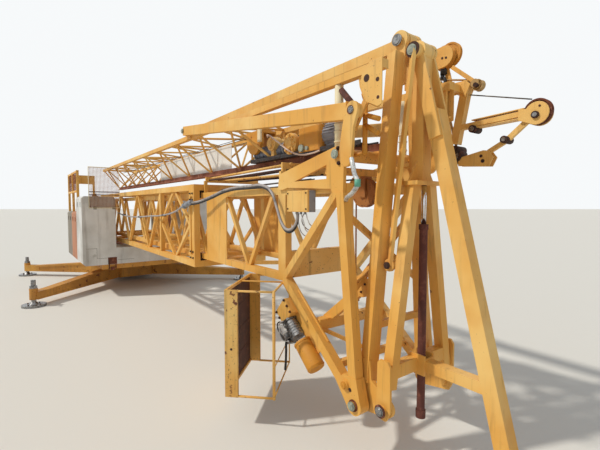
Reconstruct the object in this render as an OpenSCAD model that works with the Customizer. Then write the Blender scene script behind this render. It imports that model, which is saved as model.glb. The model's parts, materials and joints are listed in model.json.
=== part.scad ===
// Folded self-erecting tower crane, resting on its four outrigger feet.
// +X runs from the slewing axis towards the mast head, +Y to the far side, +Z up.
// The near side is -Y. The origin is on the floor, midway along the folded crane.

/* [Base] */
// Distance of a foot ahead of or behind the slewing axis
foot_x = 2000; // [1700:50:2400]
// Distance of a foot to the side of the slewing axis
foot_y = 2200; // [1900:50:2600]
// Diameter of a foot pad
pad_d = 400; // [300:10:500]
// Thickness of a foot pad
pad_t = 40; // [25:5:60]
// Diameter of a screw jack
jack_d = 80; // [60:5:100]
// Width of an outrigger arm
arm_w = 200; // [160:10:240]
// Height of an outrigger arm at its tip
arm_tip_h = 150; // [120:10:180]
// Underside of the base frame above the floor
base_z = 120; // [100:10:200]
// Height of the base frame
base_h = 300; // [240:10:340]
// Width of the base frame
base_w = 1100; // [1000:20:1200]
// Diameter of the slewing ring
ring_d = 1000; // [900:20:1100]
// Height of each half of the slewing ring
ring_h = 65; // [50:5:80]

/* [Turntable] */
// Length of the deck ahead of the slewing axis
deck_front = 1855; // [1800:10:1950]
// Length of the deck behind the slewing axis
deck_rear = 1150; // [1050:10:1250]
// Thickness of the deck
deck_t = 100; // [80:5:120]
// Width of the deck
deck_w = 2000; // [1800:20:2200]
// Length of one ballast block
block_l = 850; // [800:10:850]
// Width of one side of a ballast block
block_w = 630; // [500:10:700]
// Clear width between the sides of a ballast block
block_gap = 1440; // [1400:10:1500]
// Height of the front ballast block
front_block_h = 1440; // [1300:20:1600]
// Height of the other ballast blocks
rear_block_h = 1110; // [1000:20:1250]
// Height of the slab that joins the sides of a ballast block
slab_h = 350; // [250:10:380]
// Height of the railing above the ballast
rail_h = 920; // [700:20:1000]

/* [Outer mast] */
// Mast pivot behind the slewing axis
pivot_back = 750; // [730:10:800]
// Mast pivot above the floor
pivot_z = 1150; // [1130:10:1250]
// Diameter of the mast pivot pins
mast_pin_d = 90; // [70:5:110]
// Length of the outer mast
outer_l = 6700; // [6400:50:6900]
// Width and height of the outer mast
outer_w = 1100; // [1060:10:1160]
// Side of an outer mast chord
outer_chord = 80; // [60:5:90]
// Side of a mast brace
mast_brace = 45; // [35:5:55]

/* [Inner mast] */
// Length of the inner mast along its lower chords
inner_l = 7960; // [7700:20:8200]
// Clear space between the chords of the two masts
mast_gap = 30; // [25:1:40]
// Side of an inner mast chord
inner_chord = 70; // [55:5:80]
// Length of the head beyond the lower chords
head_l = 800; // [740:10:860]
// Drop of the lower head pin below the mast
head_drop = 770; // [700:10:800]
// Diameter of the head pins
head_pin_d = 60; // [50:5:70]

/* [Jib] */
// Length of the jib from its pivot to its tip
jib_l = 9700; // [9300:50:9900]
// Distance of an upper chord's middle inside the head's side frame
jib_inset = 40; // [35:1:50]
// Height of the jib between its chord centres
jib_h = 485; // [440:5:520]
// Side of a jib chord
jib_chord = 60; // [45:5:70]
// Diameter of a jib brace
jib_brace = 30; // [24:2:40]
// Height of the jib pivot above the top of the inner mast
jib_rise = 220; // [200:5:250]

/* [Guy frames] */
// Side of a guy frame leg
guy_leg = 95; // [80:5:110]
// Height of the guy frame pin above the lower head pin
guy_h = 2720; // [2600:20:2800]
// Side of a leg of the second frame
strut_leg = 80; // [65:5:90]
// Side of the long strut
long_leg = 105; // [90:5:120]
// Diameter of the erecting cylinder
cylinder_d = 60; // [50:5:70]

/* [Hidden] */

yellow = [0.92, 0.70, 0.34];
dark_yellow = [0.78, 0.52, 0.20];
steel = [0.55, 0.56, 0.58];
dark_steel = [0.22, 0.21, 0.20];
rust = [0.42, 0.24, 0.16];
concrete = [0.78, 0.78, 0.76];
terracotta = [0.72, 0.50, 0.38];
grey_concrete = [0.60, 0.58, 0.54];
cream = [0.93, 0.88, 0.74];
rubber_black = [0.08, 0.08, 0.08];

// Play round a pin in its bore, and between faces that slide or turn
play = 0.3;
// Side clearance between pieces that swing past each other
gap = 5;
// Step between the faces of two bars welded together, one being a little thinner
inset = 3;
round_fn = 32;

// Heights of the base and the turntable
base_top = base_z + base_h;
ring_z = base_top + ring_h + play;
deck_z = ring_z + ring_h;
deck_top = deck_z + deck_t;

// Ends of the outer mast, measured from the slewing axis
outer_back = 100;
outer_x0 = -pivot_back - outer_back;
outer_x1 = outer_x0 + outer_l;
mast_low = pivot_z - 70;
mast_mid = mast_low + outer_w / 2;
outer_top = mast_low + outer_w;
outer_y = outer_w / 2 - outer_chord / 2;

// Ends of the inner mast; its lower chords end at head_x and its upper ones at top_x
inner_w = outer_w - 2 * outer_chord - 2 * mast_gap;
inner_x0 = -145;
head_x = inner_x0 + inner_l;
top_x = head_x + head_l;
inner_low = mast_mid - inner_w / 2;
inner_top = mast_mid + inner_w / 2;
inner_y = inner_w / 2 - inner_chord / 2;
inner_zl = inner_low + inner_chord / 2;
inner_zu = inner_top - inner_chord / 2;

// Pivots in the vertical plane along the mast, as [x, z]
mast_pivot = [-pivot_back, pivot_z];
jib_pivot = [head_x + 720, inner_top + jib_rise];
pin_a = [top_x + 130, inner_low - head_drop];
pin_b = pin_a + [210, 30];
pin_1 = pin_a + [60, guy_h];
pin_2 = pin_a + [210, guy_h - 120];

// Foremost and rearmost points of the folded crane, and the shift to its middle
long_eye_r = 70;
long_eye = pin_a + [900, -170];
front_reach = long_eye[0] + long_eye_r;
rear_reach = foot_x + pad_d / 2;
axis_x = -(front_reach - rear_reach) / 2;

// Square or flat bar from p to q, w across it in the upright plane and t along the level
module bar(p, q, w, t) {
    d = q - p;
    l = norm(d);
    translate(p) rotate([0, acos(d[2] / l), atan2(d[1], d[0])])
        translate([-w / 2, -t / 2, 0]) cube([w, t, l]);
}

// Tube or bar of few sides from p to q
module rod(p, q, d, sides = 8) {
    v = q - p;
    l = norm(v);
    translate(p) rotate([0, acos(v[2] / l), atan2(v[1], v[0])])
        cylinder(d = d, h = l, $fn = sides);
}

// Upright plate of thickness t, its outline given as [x, z] points, its middle at y
module plate(points, y, t) {
    translate([0, y + t / 2, 0]) rotate([90, 0, 0]) linear_extrude(t) polygon(points);
}

// Round bar or bore along Y at the point c, from y0 to y1
module pin(c, d, y0, y1) {
    translate([c[0], y1, c[1]]) rotate([90, 0, 0]) cylinder(d = d, h = y1 - y0, $fn = round_fn);
}

// Rounded eye of an upright plate
module eye(c, r, y, t) {
    pin(c, 2 * r, y - t / 2, y + t / 2);
}

// Both sides of the crane
module both() {
    children();
    mirror([0, 1, 0]) children();
}

// Everything is laid out from the slewing axis
module at_axis() {
    translate([axis_x, 0, 0]) children();
}

// Zigzag of braces in an upright face at y, from the first point of xs to the last
module zigzag(xs, y, z0, z1, w, first_low = true) {
    for (i = [0 : len(xs) - 2]) {
        low = (i % 2 == 0) == first_low;
        bar([xs[i], y, low ? z0 : z1], [xs[i + 1], y, low ? z1 : z0], w, w - (i % 2) * inset);
    }
}

// Zigzag of braces in a level face at height z
module level_zigzag(xs, z, y0, y1, w) {
    for (i = [0 : len(xs) - 2]) {
        even = i % 2 == 0;
        bar([xs[i], even ? y0 : y1, z], [xs[i + 1], even ? y1 : y0, z],
            w - (even ? 1 : 2) * inset, w - (even ? 1 : 2) * inset);
    }
}

// Base

hub_r = base_w * 0.58;
foot_r = norm([foot_x, foot_y]);
sleeve_d = jack_d + 60;
sleeve_z0 = base_z + 10;
sleeve_z1 = sleeve_z0 + arm_tip_h + 60;
jack_top = sleeve_z1 + 160;

module base_frame() {
    color(dark_yellow) at_axis() difference() {
        union() {
            translate([0, 0, base_z]) linear_extrude(base_h) intersection() {
                square(base_w, center = true);
                for_arms_cut();
            }
            translate([0, 0, base_top]) cylinder(d = ring_d, h = ring_h, $fn = 48);
        }
        translate([0, 0, base_z - 1])
            cylinder(d = ring_d * 0.66, h = base_h + ring_h + 2, $fn = 48);
    }
}

// Outline that squares the hub's corners off to the four arms
module for_arms_cut() {
    angle = atan2(foot_y, foot_x);
    intersection() {
        rotate(angle) square(2 * hub_r, center = true);
        rotate(-angle) square(2 * hub_r, center = true);
    }
}

module outrigger(sx, sy) {
    arm_z1 = sleeve_z0 + arm_tip_h;
    color(dark_yellow) at_axis() rotate(atan2(sy * foot_y, sx * foot_x)) difference() {
        union() {
            plate([[hub_r, base_z], [foot_r, sleeve_z0], [foot_r, arm_z1],
                [foot_r - 300, arm_z1], [hub_r + 250, base_top - 10], [hub_r, base_top]],
                0, arm_w);
            translate([foot_r, 0, sleeve_z0])
                cylinder(d = sleeve_d, h = sleeve_z1 - sleeve_z0, $fn = round_fn);
        }
        translate([foot_r, 0, 0])
            cylinder(d = jack_d + 2 * play, h = sleeve_z1 + 1, $fn = round_fn);
        for (s = [-1, 1])
            translate([0, s * (arm_w / 2 - 15), 0])
                plate([[hub_r + 60, base_z + 45], [foot_r - 420, sleeve_z0 + 40],
                    [foot_r - 420, arm_z1 - 40], [hub_r + 260, base_top - 60],
                    [hub_r + 60, base_top - 50]], s * 10, 20);
    }
}

module outrigger_front_near() { outrigger(1, -1); }
module outrigger_front_far() { outrigger(1, 1); }
module outrigger_rear_near() { outrigger(-1, -1); }
module outrigger_rear_far() { outrigger(-1, 1); }

// Screw jacks with their pads, nuts and turning bars
module jack_feet() {
    color(steel) at_axis() for (sx = [-1, 1], sy = [-1, 1])
        translate([sx * foot_x, sy * foot_y, 0]) {
            cylinder(d = pad_d, h = pad_t, $fn = 48);
            translate([0, 0, pad_t]) cylinder(d1 = 2 * jack_d, d2 = jack_d, h = 50, $fn = round_fn);
            cylinder(d = jack_d, h = jack_top, $fn = round_fn);
            translate([0, 0, sleeve_z1]) cylinder(d = sleeve_d, h = 50, $fn = 6);
            rod([-160, 0, jack_top - 30], [160, 0, jack_top - 30], 24, 8);
        }
}

// Turntable

block_top = deck_top + rear_block_h;
front_top = deck_top + front_block_h;
ballast_x1 = deck_front;
side_y0 = block_gap / 2;
side_y1 = side_y0 + block_w;
joint_gap = 5;

module turntable_deck() {
    rim = 120;
    color(dark_yellow) at_axis() {
        difference() {
            union() {
                translate([-deck_rear, -deck_w / 2, deck_z])
                    cube([deck_rear + deck_front, deck_w, deck_t]);
                translate([0, 0, ring_z]) cylinder(d = ring_d, h = ring_h, $fn = 48);
            }
            translate([0, 0, ring_z - 1])
                cylinder(d = ring_d * 0.66, h = ring_h + deck_t + 2, $fn = 48);
            for (x = [-deck_rear + rim, deck_front - rim - 500], s = [-1, 1])
                translate([x, s * deck_w * 0.33 - 180, deck_z - 1]) cube([500, 360, deck_t + 2]);
        }
    }
}

// One ballast block: two tall sides and the slab that lies between them under the mast
module ballast(i, h, c) {
    x0 = ballast_x1 - (i + 1) * block_l + joint_gap;
    l = block_l - joint_gap;
    ch = 45;
    top = deck_top + h;
    color(c) at_axis() {
        both() difference() {
            translate([x0, 0, 0]) rotate([90, 0, 90]) linear_extrude(l)
                polygon([[side_y1 - ch, deck_top], [side_y1, deck_top + ch], [side_y1, top - ch],
                    [side_y1 - ch, top], [side_y0 + ch, top], [side_y0, top - ch],
                    [side_y0, deck_top]]);
            for (f = [0.25, 0.75])
                translate([x0 + l * f - 60, side_y1 - 60, top - 220]) cube([120, 61, 100]);
        }
        translate([x0, -side_y0 + play, deck_top]) cube([l, 2 * (side_y0 - play), slab_h]);
    }
}

module ballast_front() { ballast(0, front_block_h, concrete); }
module ballast_middle() { ballast(1, rear_block_h, terracotta); }
module ballast_rear() { ballast(2, rear_block_h, grey_concrete); }

bracket_t = 40;
bracket_y = outer_w / 2 + 30 + gap + 5 + bracket_t / 2;
ballast_x0 = ballast_x1 - 3 * block_l;

// Two upright brackets that carry the mast pins, tied by a cross plate behind the mast
module mast_foot_brackets() {
    r = mast_pin_d;
    front = ballast_x0;
    bracket_in = bracket_y - bracket_t / 2;
    color(yellow) at_axis() {
        both() {
            plate([[-deck_rear + 10, deck_top], [front, deck_top], [front, deck_top + slab_h],
                [-pivot_back + r * 0.7, pivot_z], [-pivot_back - r, pivot_z],
                [-deck_rear + 10, deck_top + 160]], bracket_y, bracket_t);
            eye(mast_pivot, r, bracket_y, bracket_t);
            pin(mast_pivot, mast_pin_d, bracket_y - bracket_t / 2 - gap - 5 - 30, bracket_y);
            pin(mast_pivot, mast_pin_d * 1.3, bracket_y, bracket_y + bracket_t / 2 + 15);
        }
        translate([-deck_rear + 10, -bracket_in + play, deck_top])
            cube([30, 2 * (bracket_in - play), 160]);
        for (s = [-1, 1])
            translate([-deck_rear + 40, s * (bracket_y - 80) - 10, deck_top])
                cube([200, 20, 120]);
    }
}

// Railing of the service stand on the near side of the ballast
module ballast_railing() {
    post = 50;
    x0 = ballast_x0 + post;
    x1 = ballast_x1 - block_l - post;
    y0 = -side_y1 + post;
    y1 = -side_y0 - post / 2;
    top = block_top + rail_h;
    color(yellow) at_axis() {
        for (p = [[x0, y0], [x0, y1], [x1, y0], [(x0 + x1) / 2, y0]])
            bar([p[0], p[1], block_top], [p[0], p[1], top], post, post);
        translate([x0 - post / 2, y0 - post / 2, top - 220]) cube([post, y1 - y0 + post, 220]);
        for (z = [top - post / 2, block_top + rail_h * 0.5])
            bar([x0, y0, z], [x1, y0, z], post * 0.8, post * 0.8);
    }
}

// Outer mast

outer_zl = mast_low + outer_chord / 2;
outer_zu = outer_top - outer_chord / 2;
collar_l = 180;
// Bays of the outer side face, shared out over its length
outer_bay = (outer_x1 - 1490 - outer_x0 - outer_chord) / 7;
outer_zig = [for (i = [0 : 7]) outer_x1 - 1490 - i * outer_bay];
lug_t = 30;

// One side: chords, end posts, zigzag braces and the diamond next to the collar
module outer_mast_side() {
    y = outer_y;
    post = outer_x1 - 1490;
    mid = (post + outer_x1 - collar_l) / 2;
    color(yellow) at_axis() difference() {
        union() {
            for (z = [outer_zl, outer_zu])
                bar([outer_x0, y, z], [outer_x1 - collar_l, y, z], outer_chord, outer_chord);
            for (x = [post, outer_x0 + outer_chord / 2])
                bar([x, y, outer_zl], [x, y, outer_zu], outer_chord * 0.8, outer_chord * 0.8);
            zigzag(outer_zig, y, outer_zl, outer_zu, mast_brace, false);
            for (x = [post, outer_x1 - collar_l - mast_brace], z = [outer_zl, outer_zu])
                bar([x, y, mast_mid], [mid, y, z], mast_brace, mast_brace - 2 * inset);
            bar([outer_x1 - collar_l - mast_brace / 2, y, outer_zl],
                [outer_x1 - collar_l - mast_brace / 2, y, outer_zu], mast_brace, mast_brace);
            translate([outer_x0, outer_w / 2, mast_low])
                cube([2 * outer_back, lug_t, 70 + mast_pin_d]);
        }
        pin(mast_pivot, mast_pin_d + 2 * play, outer_w / 2 - outer_chord - 1,
            outer_w / 2 + lug_t + 1);
    }
}

module outer_mast_far() { outer_mast_side(); }
module outer_mast_near() { mirror([0, 1, 0]) outer_mast_side(); }

// Cross bracing between the chords, above or below
module outer_mast_level(z) {
    y = outer_w / 2 - outer_chord;
    n = 12;
    step = (outer_x1 - collar_l - outer_x0 - mast_brace) / n;
    color(yellow) at_axis() intersection() {
        union() {
            level_zigzag([for (i = [0 : n]) outer_x0 + mast_brace / 2 + i * step], z, -y, y,
                mast_brace);
            for (i = [0 : 4 : n])
                bar([outer_x0 + mast_brace / 2 + i * step, -y, z],
                    [outer_x0 + mast_brace / 2 + i * step, y, z], mast_brace, mast_brace);
        }
        translate([outer_x0, -y, z - mast_brace]) cube([outer_l - collar_l, 2 * y, 2 * mast_brace]);
    }
}

module outer_mast_top() { outer_mast_level(outer_zu + outer_chord / 2 - mast_brace / 2); }
module outer_mast_bottom() { outer_mast_level(outer_zl - outer_chord / 2 + mast_brace / 2); }

// Thick frame at the open end of the outer mast
module outer_mast_collar() {
    wall = outer_chord;
    color(yellow) at_axis() translate([outer_x1 - collar_l, 0, 0]) difference() {
        translate([0, -outer_w / 2, mast_low]) cube([collar_l, outer_w, outer_w]);
        translate([-1, -outer_w / 2 + wall, mast_low + wall])
            cube([collar_l + 2, outer_w - 2 * wall, outer_w - 2 * wall]);
        for (s = [-1, 1])
            translate([collar_l / 2, s * outer_w / 2, mast_mid])
                cube([collar_l * 0.5, 30, outer_w - 4 * wall], center = true);
    }
}

// Sliding pads between the collar and the inner mast chords
module guide_pads() {
    y0 = inner_w / 2 + play;
    y1 = outer_w / 2 - outer_chord;
    pad = inner_chord;
    x = outer_x1 - collar_l + 30;
    color(dark_steel) at_axis() both() for (top = [0, 1]) {
        z = top ? inner_top - pad : inner_low;
        translate([x, y0, z]) cube([120, y1 - y0, pad]);
        translate([x, inner_w / 2 - pad, top ? inner_top + play : mast_low + outer_chord])
            cube([120, pad, y1 - y0]);
    }
}

// Inner mast

side_plate_l = 570;
side_plate_x = outer_x1 + 155;
v_low = (side_plate_x + side_plate_l + head_x - 240) / 2;
inner_n = 12;
inner_bay = (side_plate_x - inner_x0 - inner_chord) / inner_n;

// One side: chords, end post, hidden bays, the wide plate and the last open V
module inner_mast_side() {
    y = inner_y;
    post_w = 120;
    color(yellow) at_axis() {
        bar([inner_x0, y, inner_zl], [head_x, y, inner_zl], inner_chord, inner_chord);
        bar([inner_x0, y, inner_zu], [top_x, y, inner_zu], inner_chord, inner_chord);
        bar([inner_x0 + inner_chord / 2, y, inner_zl], [inner_x0 + inner_chord / 2, y, inner_zu],
            inner_chord, inner_chord);
        zigzag([for (i = [0 : inner_n]) inner_x0 + inner_chord / 2 + i * inner_bay], y,
            inner_zl, inner_zu, mast_brace);
        translate([side_plate_x, inner_w / 2 - 12, inner_low])
            cube([side_plate_l, 12, inner_w]);
        zigzag([side_plate_x + side_plate_l - 40, v_low, head_x - 240], y, inner_zl, inner_zu,
            mast_brace, false);
        bar([head_x - 10 - post_w / 2, y, inner_zl], [head_x - 10 - post_w / 2, y, inner_zu],
            post_w, inner_chord);
    }
}

module inner_mast_far() { inner_mast_side(); }
module inner_mast_near() { mirror([0, 1, 0]) inner_mast_side(); }

module inner_mast_level(z, x1) {
    y = inner_w / 2 - inner_chord;
    n = 14;
    step = (x1 - inner_x0 - mast_brace) / n;
    color(yellow) at_axis() intersection() {
        union() {
            level_zigzag([for (i = [0 : n]) inner_x0 + mast_brace / 2 + i * step], z, -y, y,
                mast_brace);
            for (i = [0, n])
                bar([inner_x0 + mast_brace / 2 + i * step, -y, z],
                    [inner_x0 + mast_brace / 2 + i * step, y, z], mast_brace, mast_brace);
        }
        translate([inner_x0, -y, z - mast_brace])
            cube([x1 - inner_x0, 2 * y, 2 * mast_brace]);
    }
}

module inner_mast_top() { inner_mast_level(inner_top - mast_brace / 2, sheave_c[0] - 170); }
module inner_mast_bottom() { inner_mast_level(inner_low + mast_brace / 2, head_x - 140); }

// Mast head

head_leg = 80;
head_y = inner_w / 2;
bracket_plate_t = 30;
gusset_r = 75;

// Side frame of the head: two legs down to the head pin, the brace up to the top chord, the
// gusset with its boss, and the bracket plate that carries the jib
module head_frame_side() {
    y = head_y;
    low = [head_x, inner_zl];
    high_z = inner_top - inner_chord;
    leg_top = [top_x - head_leg / 2, high_z];
    mid_b = low + (pin_a - low) * 0.86;
    color(yellow) at_axis() difference() {
        union() {
            intersection() {
                union() {
                    bar([leg_top[0], y, high_z + 20], [pin_a[0], y, pin_a[1]], head_leg, head_leg);
                    bar([low[0] - 20, y, low[1] + 20], [pin_a[0] - 20, y, pin_a[1] + 20],
                        head_leg, head_leg - inset);
                    bar([low[0] - 20, y, low[1] - 20], [leg_top[0] - 30, y, high_z + 20],
                        head_leg * 0.75, head_leg - 2 * inset);
                }
                translate([head_x, y - head_leg, pin_a[1] - gusset_r])
                    cube([head_l + 400, 2 * head_leg, high_z - pin_a[1] + gusset_r]);
            }
            plate([[mid_b[0] - 60, mid_b[1] + 10], [mid_b[0] + 20, mid_b[1] + 90],
                [pin_a[0] + 25, pin_a[1] + 200], [pin_a[0] + gusset_r, pin_a[1]],
                [pin_a[0] + 45, pin_a[1] - 58], [pin_a[0] - 45, pin_a[1] - 58]],
                y, head_leg + 8);
            eye(pin_a, gusset_r, y, head_leg + 8);
            pin(pin_a + [-80, 130], 70, y, y + head_leg / 2 + 25);
            difference() {
                plate([[head_x - 90, inner_top - 25], [head_x - 75, inner_top + 70],
                    [head_x - 30, inner_top + 125], [jib_pivot[0] - 20, jib_pivot[1] + 60],
                    [jib_pivot[0] + 60, jib_pivot[1] + 50], [top_x, inner_top + 190],
                    [top_x - 10, high_z - 40], [top_x - 110, high_z - 40],
                    [top_x - 150, inner_top - 40], [head_x + 60, inner_top - 10],
                    [head_x - 10, inner_top - 25]], y + bracket_plate_t / 2, bracket_plate_t);
                plate([[head_x + 170, inner_top + 40], [head_x + 600, inner_top + 150],
                    [head_x + 600, inner_top + 40]], y + bracket_plate_t / 2,
                    bracket_plate_t + 2);
            }
            eye(jib_pivot, 62, y + bracket_plate_t / 2, bracket_plate_t);
            pin(jib_pivot, head_pin_d, y - 45, y + bracket_plate_t + 20);
            pin(pin_a, head_pin_d, y - head_leg / 2 - 75, y + head_leg / 2 + 24);
        }
    }
}

// Large sheave in the head, and the tube that it hangs from
sheave_d = 250;
sheave_c = [top_x - 220, inner_top - 60];
hanger_z = inner_top + 110;

module head_frame_far() { head_frame_side(); }
module head_frame_near() { mirror([0, 1, 0]) head_frame_side(); }

// Deep cross beam under the mast end, the beams between the slanted legs and their braces
module head_cross_members() {
    y_in = inner_w / 2 - inner_chord;
    y_leg = head_y - head_leg / 2;
    y_slant = y_leg + inset / 2;
    low = [head_x, inner_zl];
    mid = low + (pin_a - low) * 0.45;
    leg_low = low + (pin_a - low) * 0.75;
    brace = 42;
    color(yellow) at_axis() {
        translate([head_x - 70, -y_in, inner_low + 30]) cube([70, 2 * y_in, 250]);
        bar([mid[0], -y_slant, mid[1] + 20], [mid[0], y_slant, mid[1] + 20], 90, 60);
        intersection() {
            union() for (s = [-1, 1]) {
                bar([top_x - 35, -s * y_leg, inner_low + 640],
                    [top_x + 30, s * y_leg, inner_low + 60], brace, brace);
                bar([mid[0], s * y_leg, mid[1]], [leg_low[0], 0, leg_low[1] + 20],
                    brace * 0.7, brace * 0.7);
            }
            translate([head_x, -y_leg, pin_a[1]]) cube([head_l + 300, 2 * y_leg, 2000]);
        }
        bar([leg_low[0], -y_slant, leg_low[1] + 20], [leg_low[0], y_slant, leg_low[1] + 20], 50,
            50);
        bar([sheave_c[0], -head_y, hanger_z], [sheave_c[0], head_y, hanger_z], 60, 60);
    }
}

box_size = [290, 90, 180];

// Control box hung on the near side of the head, with its grey end cap
module electric_box() {
    x = head_x + 60;
    z = inner_top - 45 - box_size[2];
    y = -inner_w / 2 - box_size[1];
    color(yellow) at_axis() {
        translate([x, y, z]) cube([box_size[0] * 0.72, box_size[1], box_size[2]]);
    }
    color(steel) at_axis() translate([x + box_size[0] * 0.72, y + 5, z])
        cube([box_size[0] * 0.28, box_size[1] - 10, box_size[2]]);
}

// Supply cable along the near side, from the head to the mast foot
cable_d = 26;
cable_route = [[8050, -485, 1845], [8050, -485, 1790], [8020, -498, 1715], [7940, -510, 1685], [7850, -510, 1740],
    [7760, -505, 1880], [7660, -495, 2020], [7540, -490, 2085], [7200, -490, 2100],
    [6700, -500, 2080], [6300, -530, 2000], [6050, -570, 1950], [5800, -600, 1930],
    [5600, -600, 1900], [5300, -600, 1820], [4700, -600, 1750], [4000, -600, 1720],
    [3300, -600, 1690], [2600, -600, 1680], [2000, -600, 1700], [1500, -600, 1740]];

function cable_ring(pts, i, r, n) =
    let (a = pts[max(0, i - 1)], b = pts[min(len(pts) - 1, i + 1)], d = (b - a) / norm(b - a),
        u = cross(d, [0, 1, 0]) / norm(cross(d, [0, 1, 0])), v = cross(d, u))
    [for (k = [0 : n - 1]) pts[i] + r * (cos(360 * k / n) * u + sin(360 * k / n) * v)];

module swept_cable(pts, d) {
    n = 8;
    m = len(pts);
    rings = [for (i = [0 : m - 1]) each cable_ring(pts, i, d / 2, n)];
    sides = [for (i = [0 : m - 2], k = [0 : n - 1])
        [i * n + k, i * n + (k + 1) % n, (i + 1) * n + (k + 1) % n, (i + 1) * n + k]];
    ends = [[for (k = [n - 1 : -1 : 0]) k], [for (k = [0 : n - 1]) (m - 1) * n + k]];
    polyhedron(points = rings, faces = concat(sides, ends));
}

module mast_cable() {
    color(rubber_black) at_axis() swept_cable(cable_route, cable_d);
}

// Service cage hung below the mast end on the near side, swung out
cage_h = 930;
cage_w = 560;
cage_t = 140;

module service_cage() {
    rail = 30;
    floor_t = 6;
    top = inner_low - play;
    color(yellow) at_axis() {
        translate([head_x - 95, -inner_w / 2 + 20, top - cage_h]) rotate(-38)
            translate([0, -cage_w, 0]) {
                cube([floor_t, cage_w, cage_h]);
                for (y = [0, cage_w - 8]) translate([0, y, 0]) cube([cage_t, 8, cage_h]);
                translate([0, 0, cage_h - 8]) cube([cage_t, cage_w, 8]);
                cube([rail, cage_w, rail]);
                translate([cage_t * 2.6, 0, 0]) cube([rail, rail, cage_h]);
                for (z = [0, cage_h - rail])
                    translate([cage_t - 1, 0, z]) cube([cage_t * 1.6 + 2, rail, rail]);
            }
    }
}

// Lower winch: gearbox, flange and motor on the slanted legs
module lower_winch() {
    low = [head_x, 0, inner_zl];
    a = atan2(pin_a[1] - low[2], pin_a[0] - low[0]);
    l = norm([pin_a[0] - low[0], pin_a[1] - low[2]]);
    y_slant = head_y - head_leg / 2 + inset / 2;
    color(yellow) at_axis() translate(low) rotate([0, -a, 0]) {
        translate([l * 0.34, -y_slant, -40]) cube([60, 2 * y_slant, 60]);
        translate([l * 0.34, -240, -70]) cube([260, 170, 30]);
        translate([l * 0.34 + 70, -155, -150]) rotate([0, 90, 0])
            cylinder(d = 170, h = 260, $fn = round_fn);
        translate([l * 0.34 - 120, -240, -260]) cube([190, 170, 200]);
    }
}

// Large rope sheave in the middle of the head, its hanger, the rope and the small block
module rope_sheave() {
    c = sheave_c;
    block_z = c[1] - 880;
    rope_sink = 11;
    rope_x = c[0] - sheave_d / 2 + rope_sink;
    color(rust) at_axis() {
        sheave(c, sheave_d, 40 + 2 * play, -25, 50);
        for (s = [-1, 1]) plate([[c[0] - 30, c[1] - 40], [c[0] + 30, c[1] - 40],
            [c[0] + 30, hanger_z - 30], [c[0] - 30, hanger_z - 30]], s * 36, 10);
        pin(c, 40, -41, 41);
        translate([c[0] - 30, -41, hanger_z - 50]) cube([60, 82, 20]);
    }
    color(steel) at_axis() {
        rod([rope_x, 0, c[1]], [rope_x, 0, block_z], 14);
        translate([rope_x - 30, -20, block_z - 90]) cube([60, 40, 90]);
    }
}

// Jib

jib_zl = jib_pivot[1] + 90;
jib_zu = jib_zl + jib_h;
jib_x1 = jib_pivot[0] + 100;
jib_x0 = jib_pivot[0] - jib_l;
jib_y = inner_w / 2 - jib_inset;
jib_n = 18;
winch_l = 1500;
jib_bay = (jib_l - winch_l - jib_chord / 2) / jib_n;
jib_nodes = [for (i = [0 : jib_n]) jib_x0 + jib_chord / 2 + i * jib_bay];
jib_end_x = jib_pivot[0] + 410;

// One slanted side: upper chord and its zigzag down to the lower chord
module jib_side() {
    color(yellow) at_axis() difference() {
        union() {
            bar([jib_x0, jib_y, jib_zu], [jib_end_x, jib_y, jib_zu], jib_chord, jib_chord);
            for (i = [0 : jib_n - 1]) {
                up = i % 2;
                rod([jib_nodes[i], up * jib_y, up ? jib_zu : jib_zl],
                    [jib_nodes[i + 1], (1 - up) * jib_y, up ? jib_zl : jib_zu], jib_brace);
            }
            rod([jib_nodes[0], 0, jib_zl], [jib_nodes[0], jib_y, jib_zu], jib_brace);
        }
        translate([jib_x0 - 1, -jib_y, jib_zl - jib_chord / 2])
            cube([jib_l + 400, jib_y + jib_chord / 2, jib_chord]);
        translate([jib_x0 - 1, -jib_y, jib_zl]) cube([jib_l, jib_y + 3, jib_chord]);
    }
}

module jib_far_face() { jib_side(); }
module jib_near_face() { mirror([0, 1, 0]) jib_side(); }

// Level bracing between the two upper chords
module jib_top_face() {
    y = jib_y - jib_chord / 2;
    z = jib_zu + jib_brace / 2;
    color(yellow) at_axis() intersection() {
        union() {
            for (i = [0 : jib_n - 1]) {
                s = i % 2 ? 1 : -1;
                rod([jib_nodes[i], s * y, z], [jib_nodes[i + 1], -s * y, z], jib_brace);
            }
            for (i = [0 : 4 : jib_n]) rod([jib_nodes[i], -y, z], [jib_nodes[i], y, z], jib_brace);
        }
        translate([jib_x0, -y, jib_zu - jib_chord]) cube([jib_l, 2 * y, 3 * jib_chord]);
    }
}

// Lower chord with the running rail along its underside
module jib_lower_chord() {
    color(rust) at_axis() {
        bar([jib_x0, 0, jib_zl], [jib_x1, 0, jib_zl], jib_chord, jib_chord);
        translate([jib_x0, -jib_chord, jib_zl - jib_chord / 2 - 10])
            cube([jib_l - 600, 2 * jib_chord, 10]);
    }
}

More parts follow.
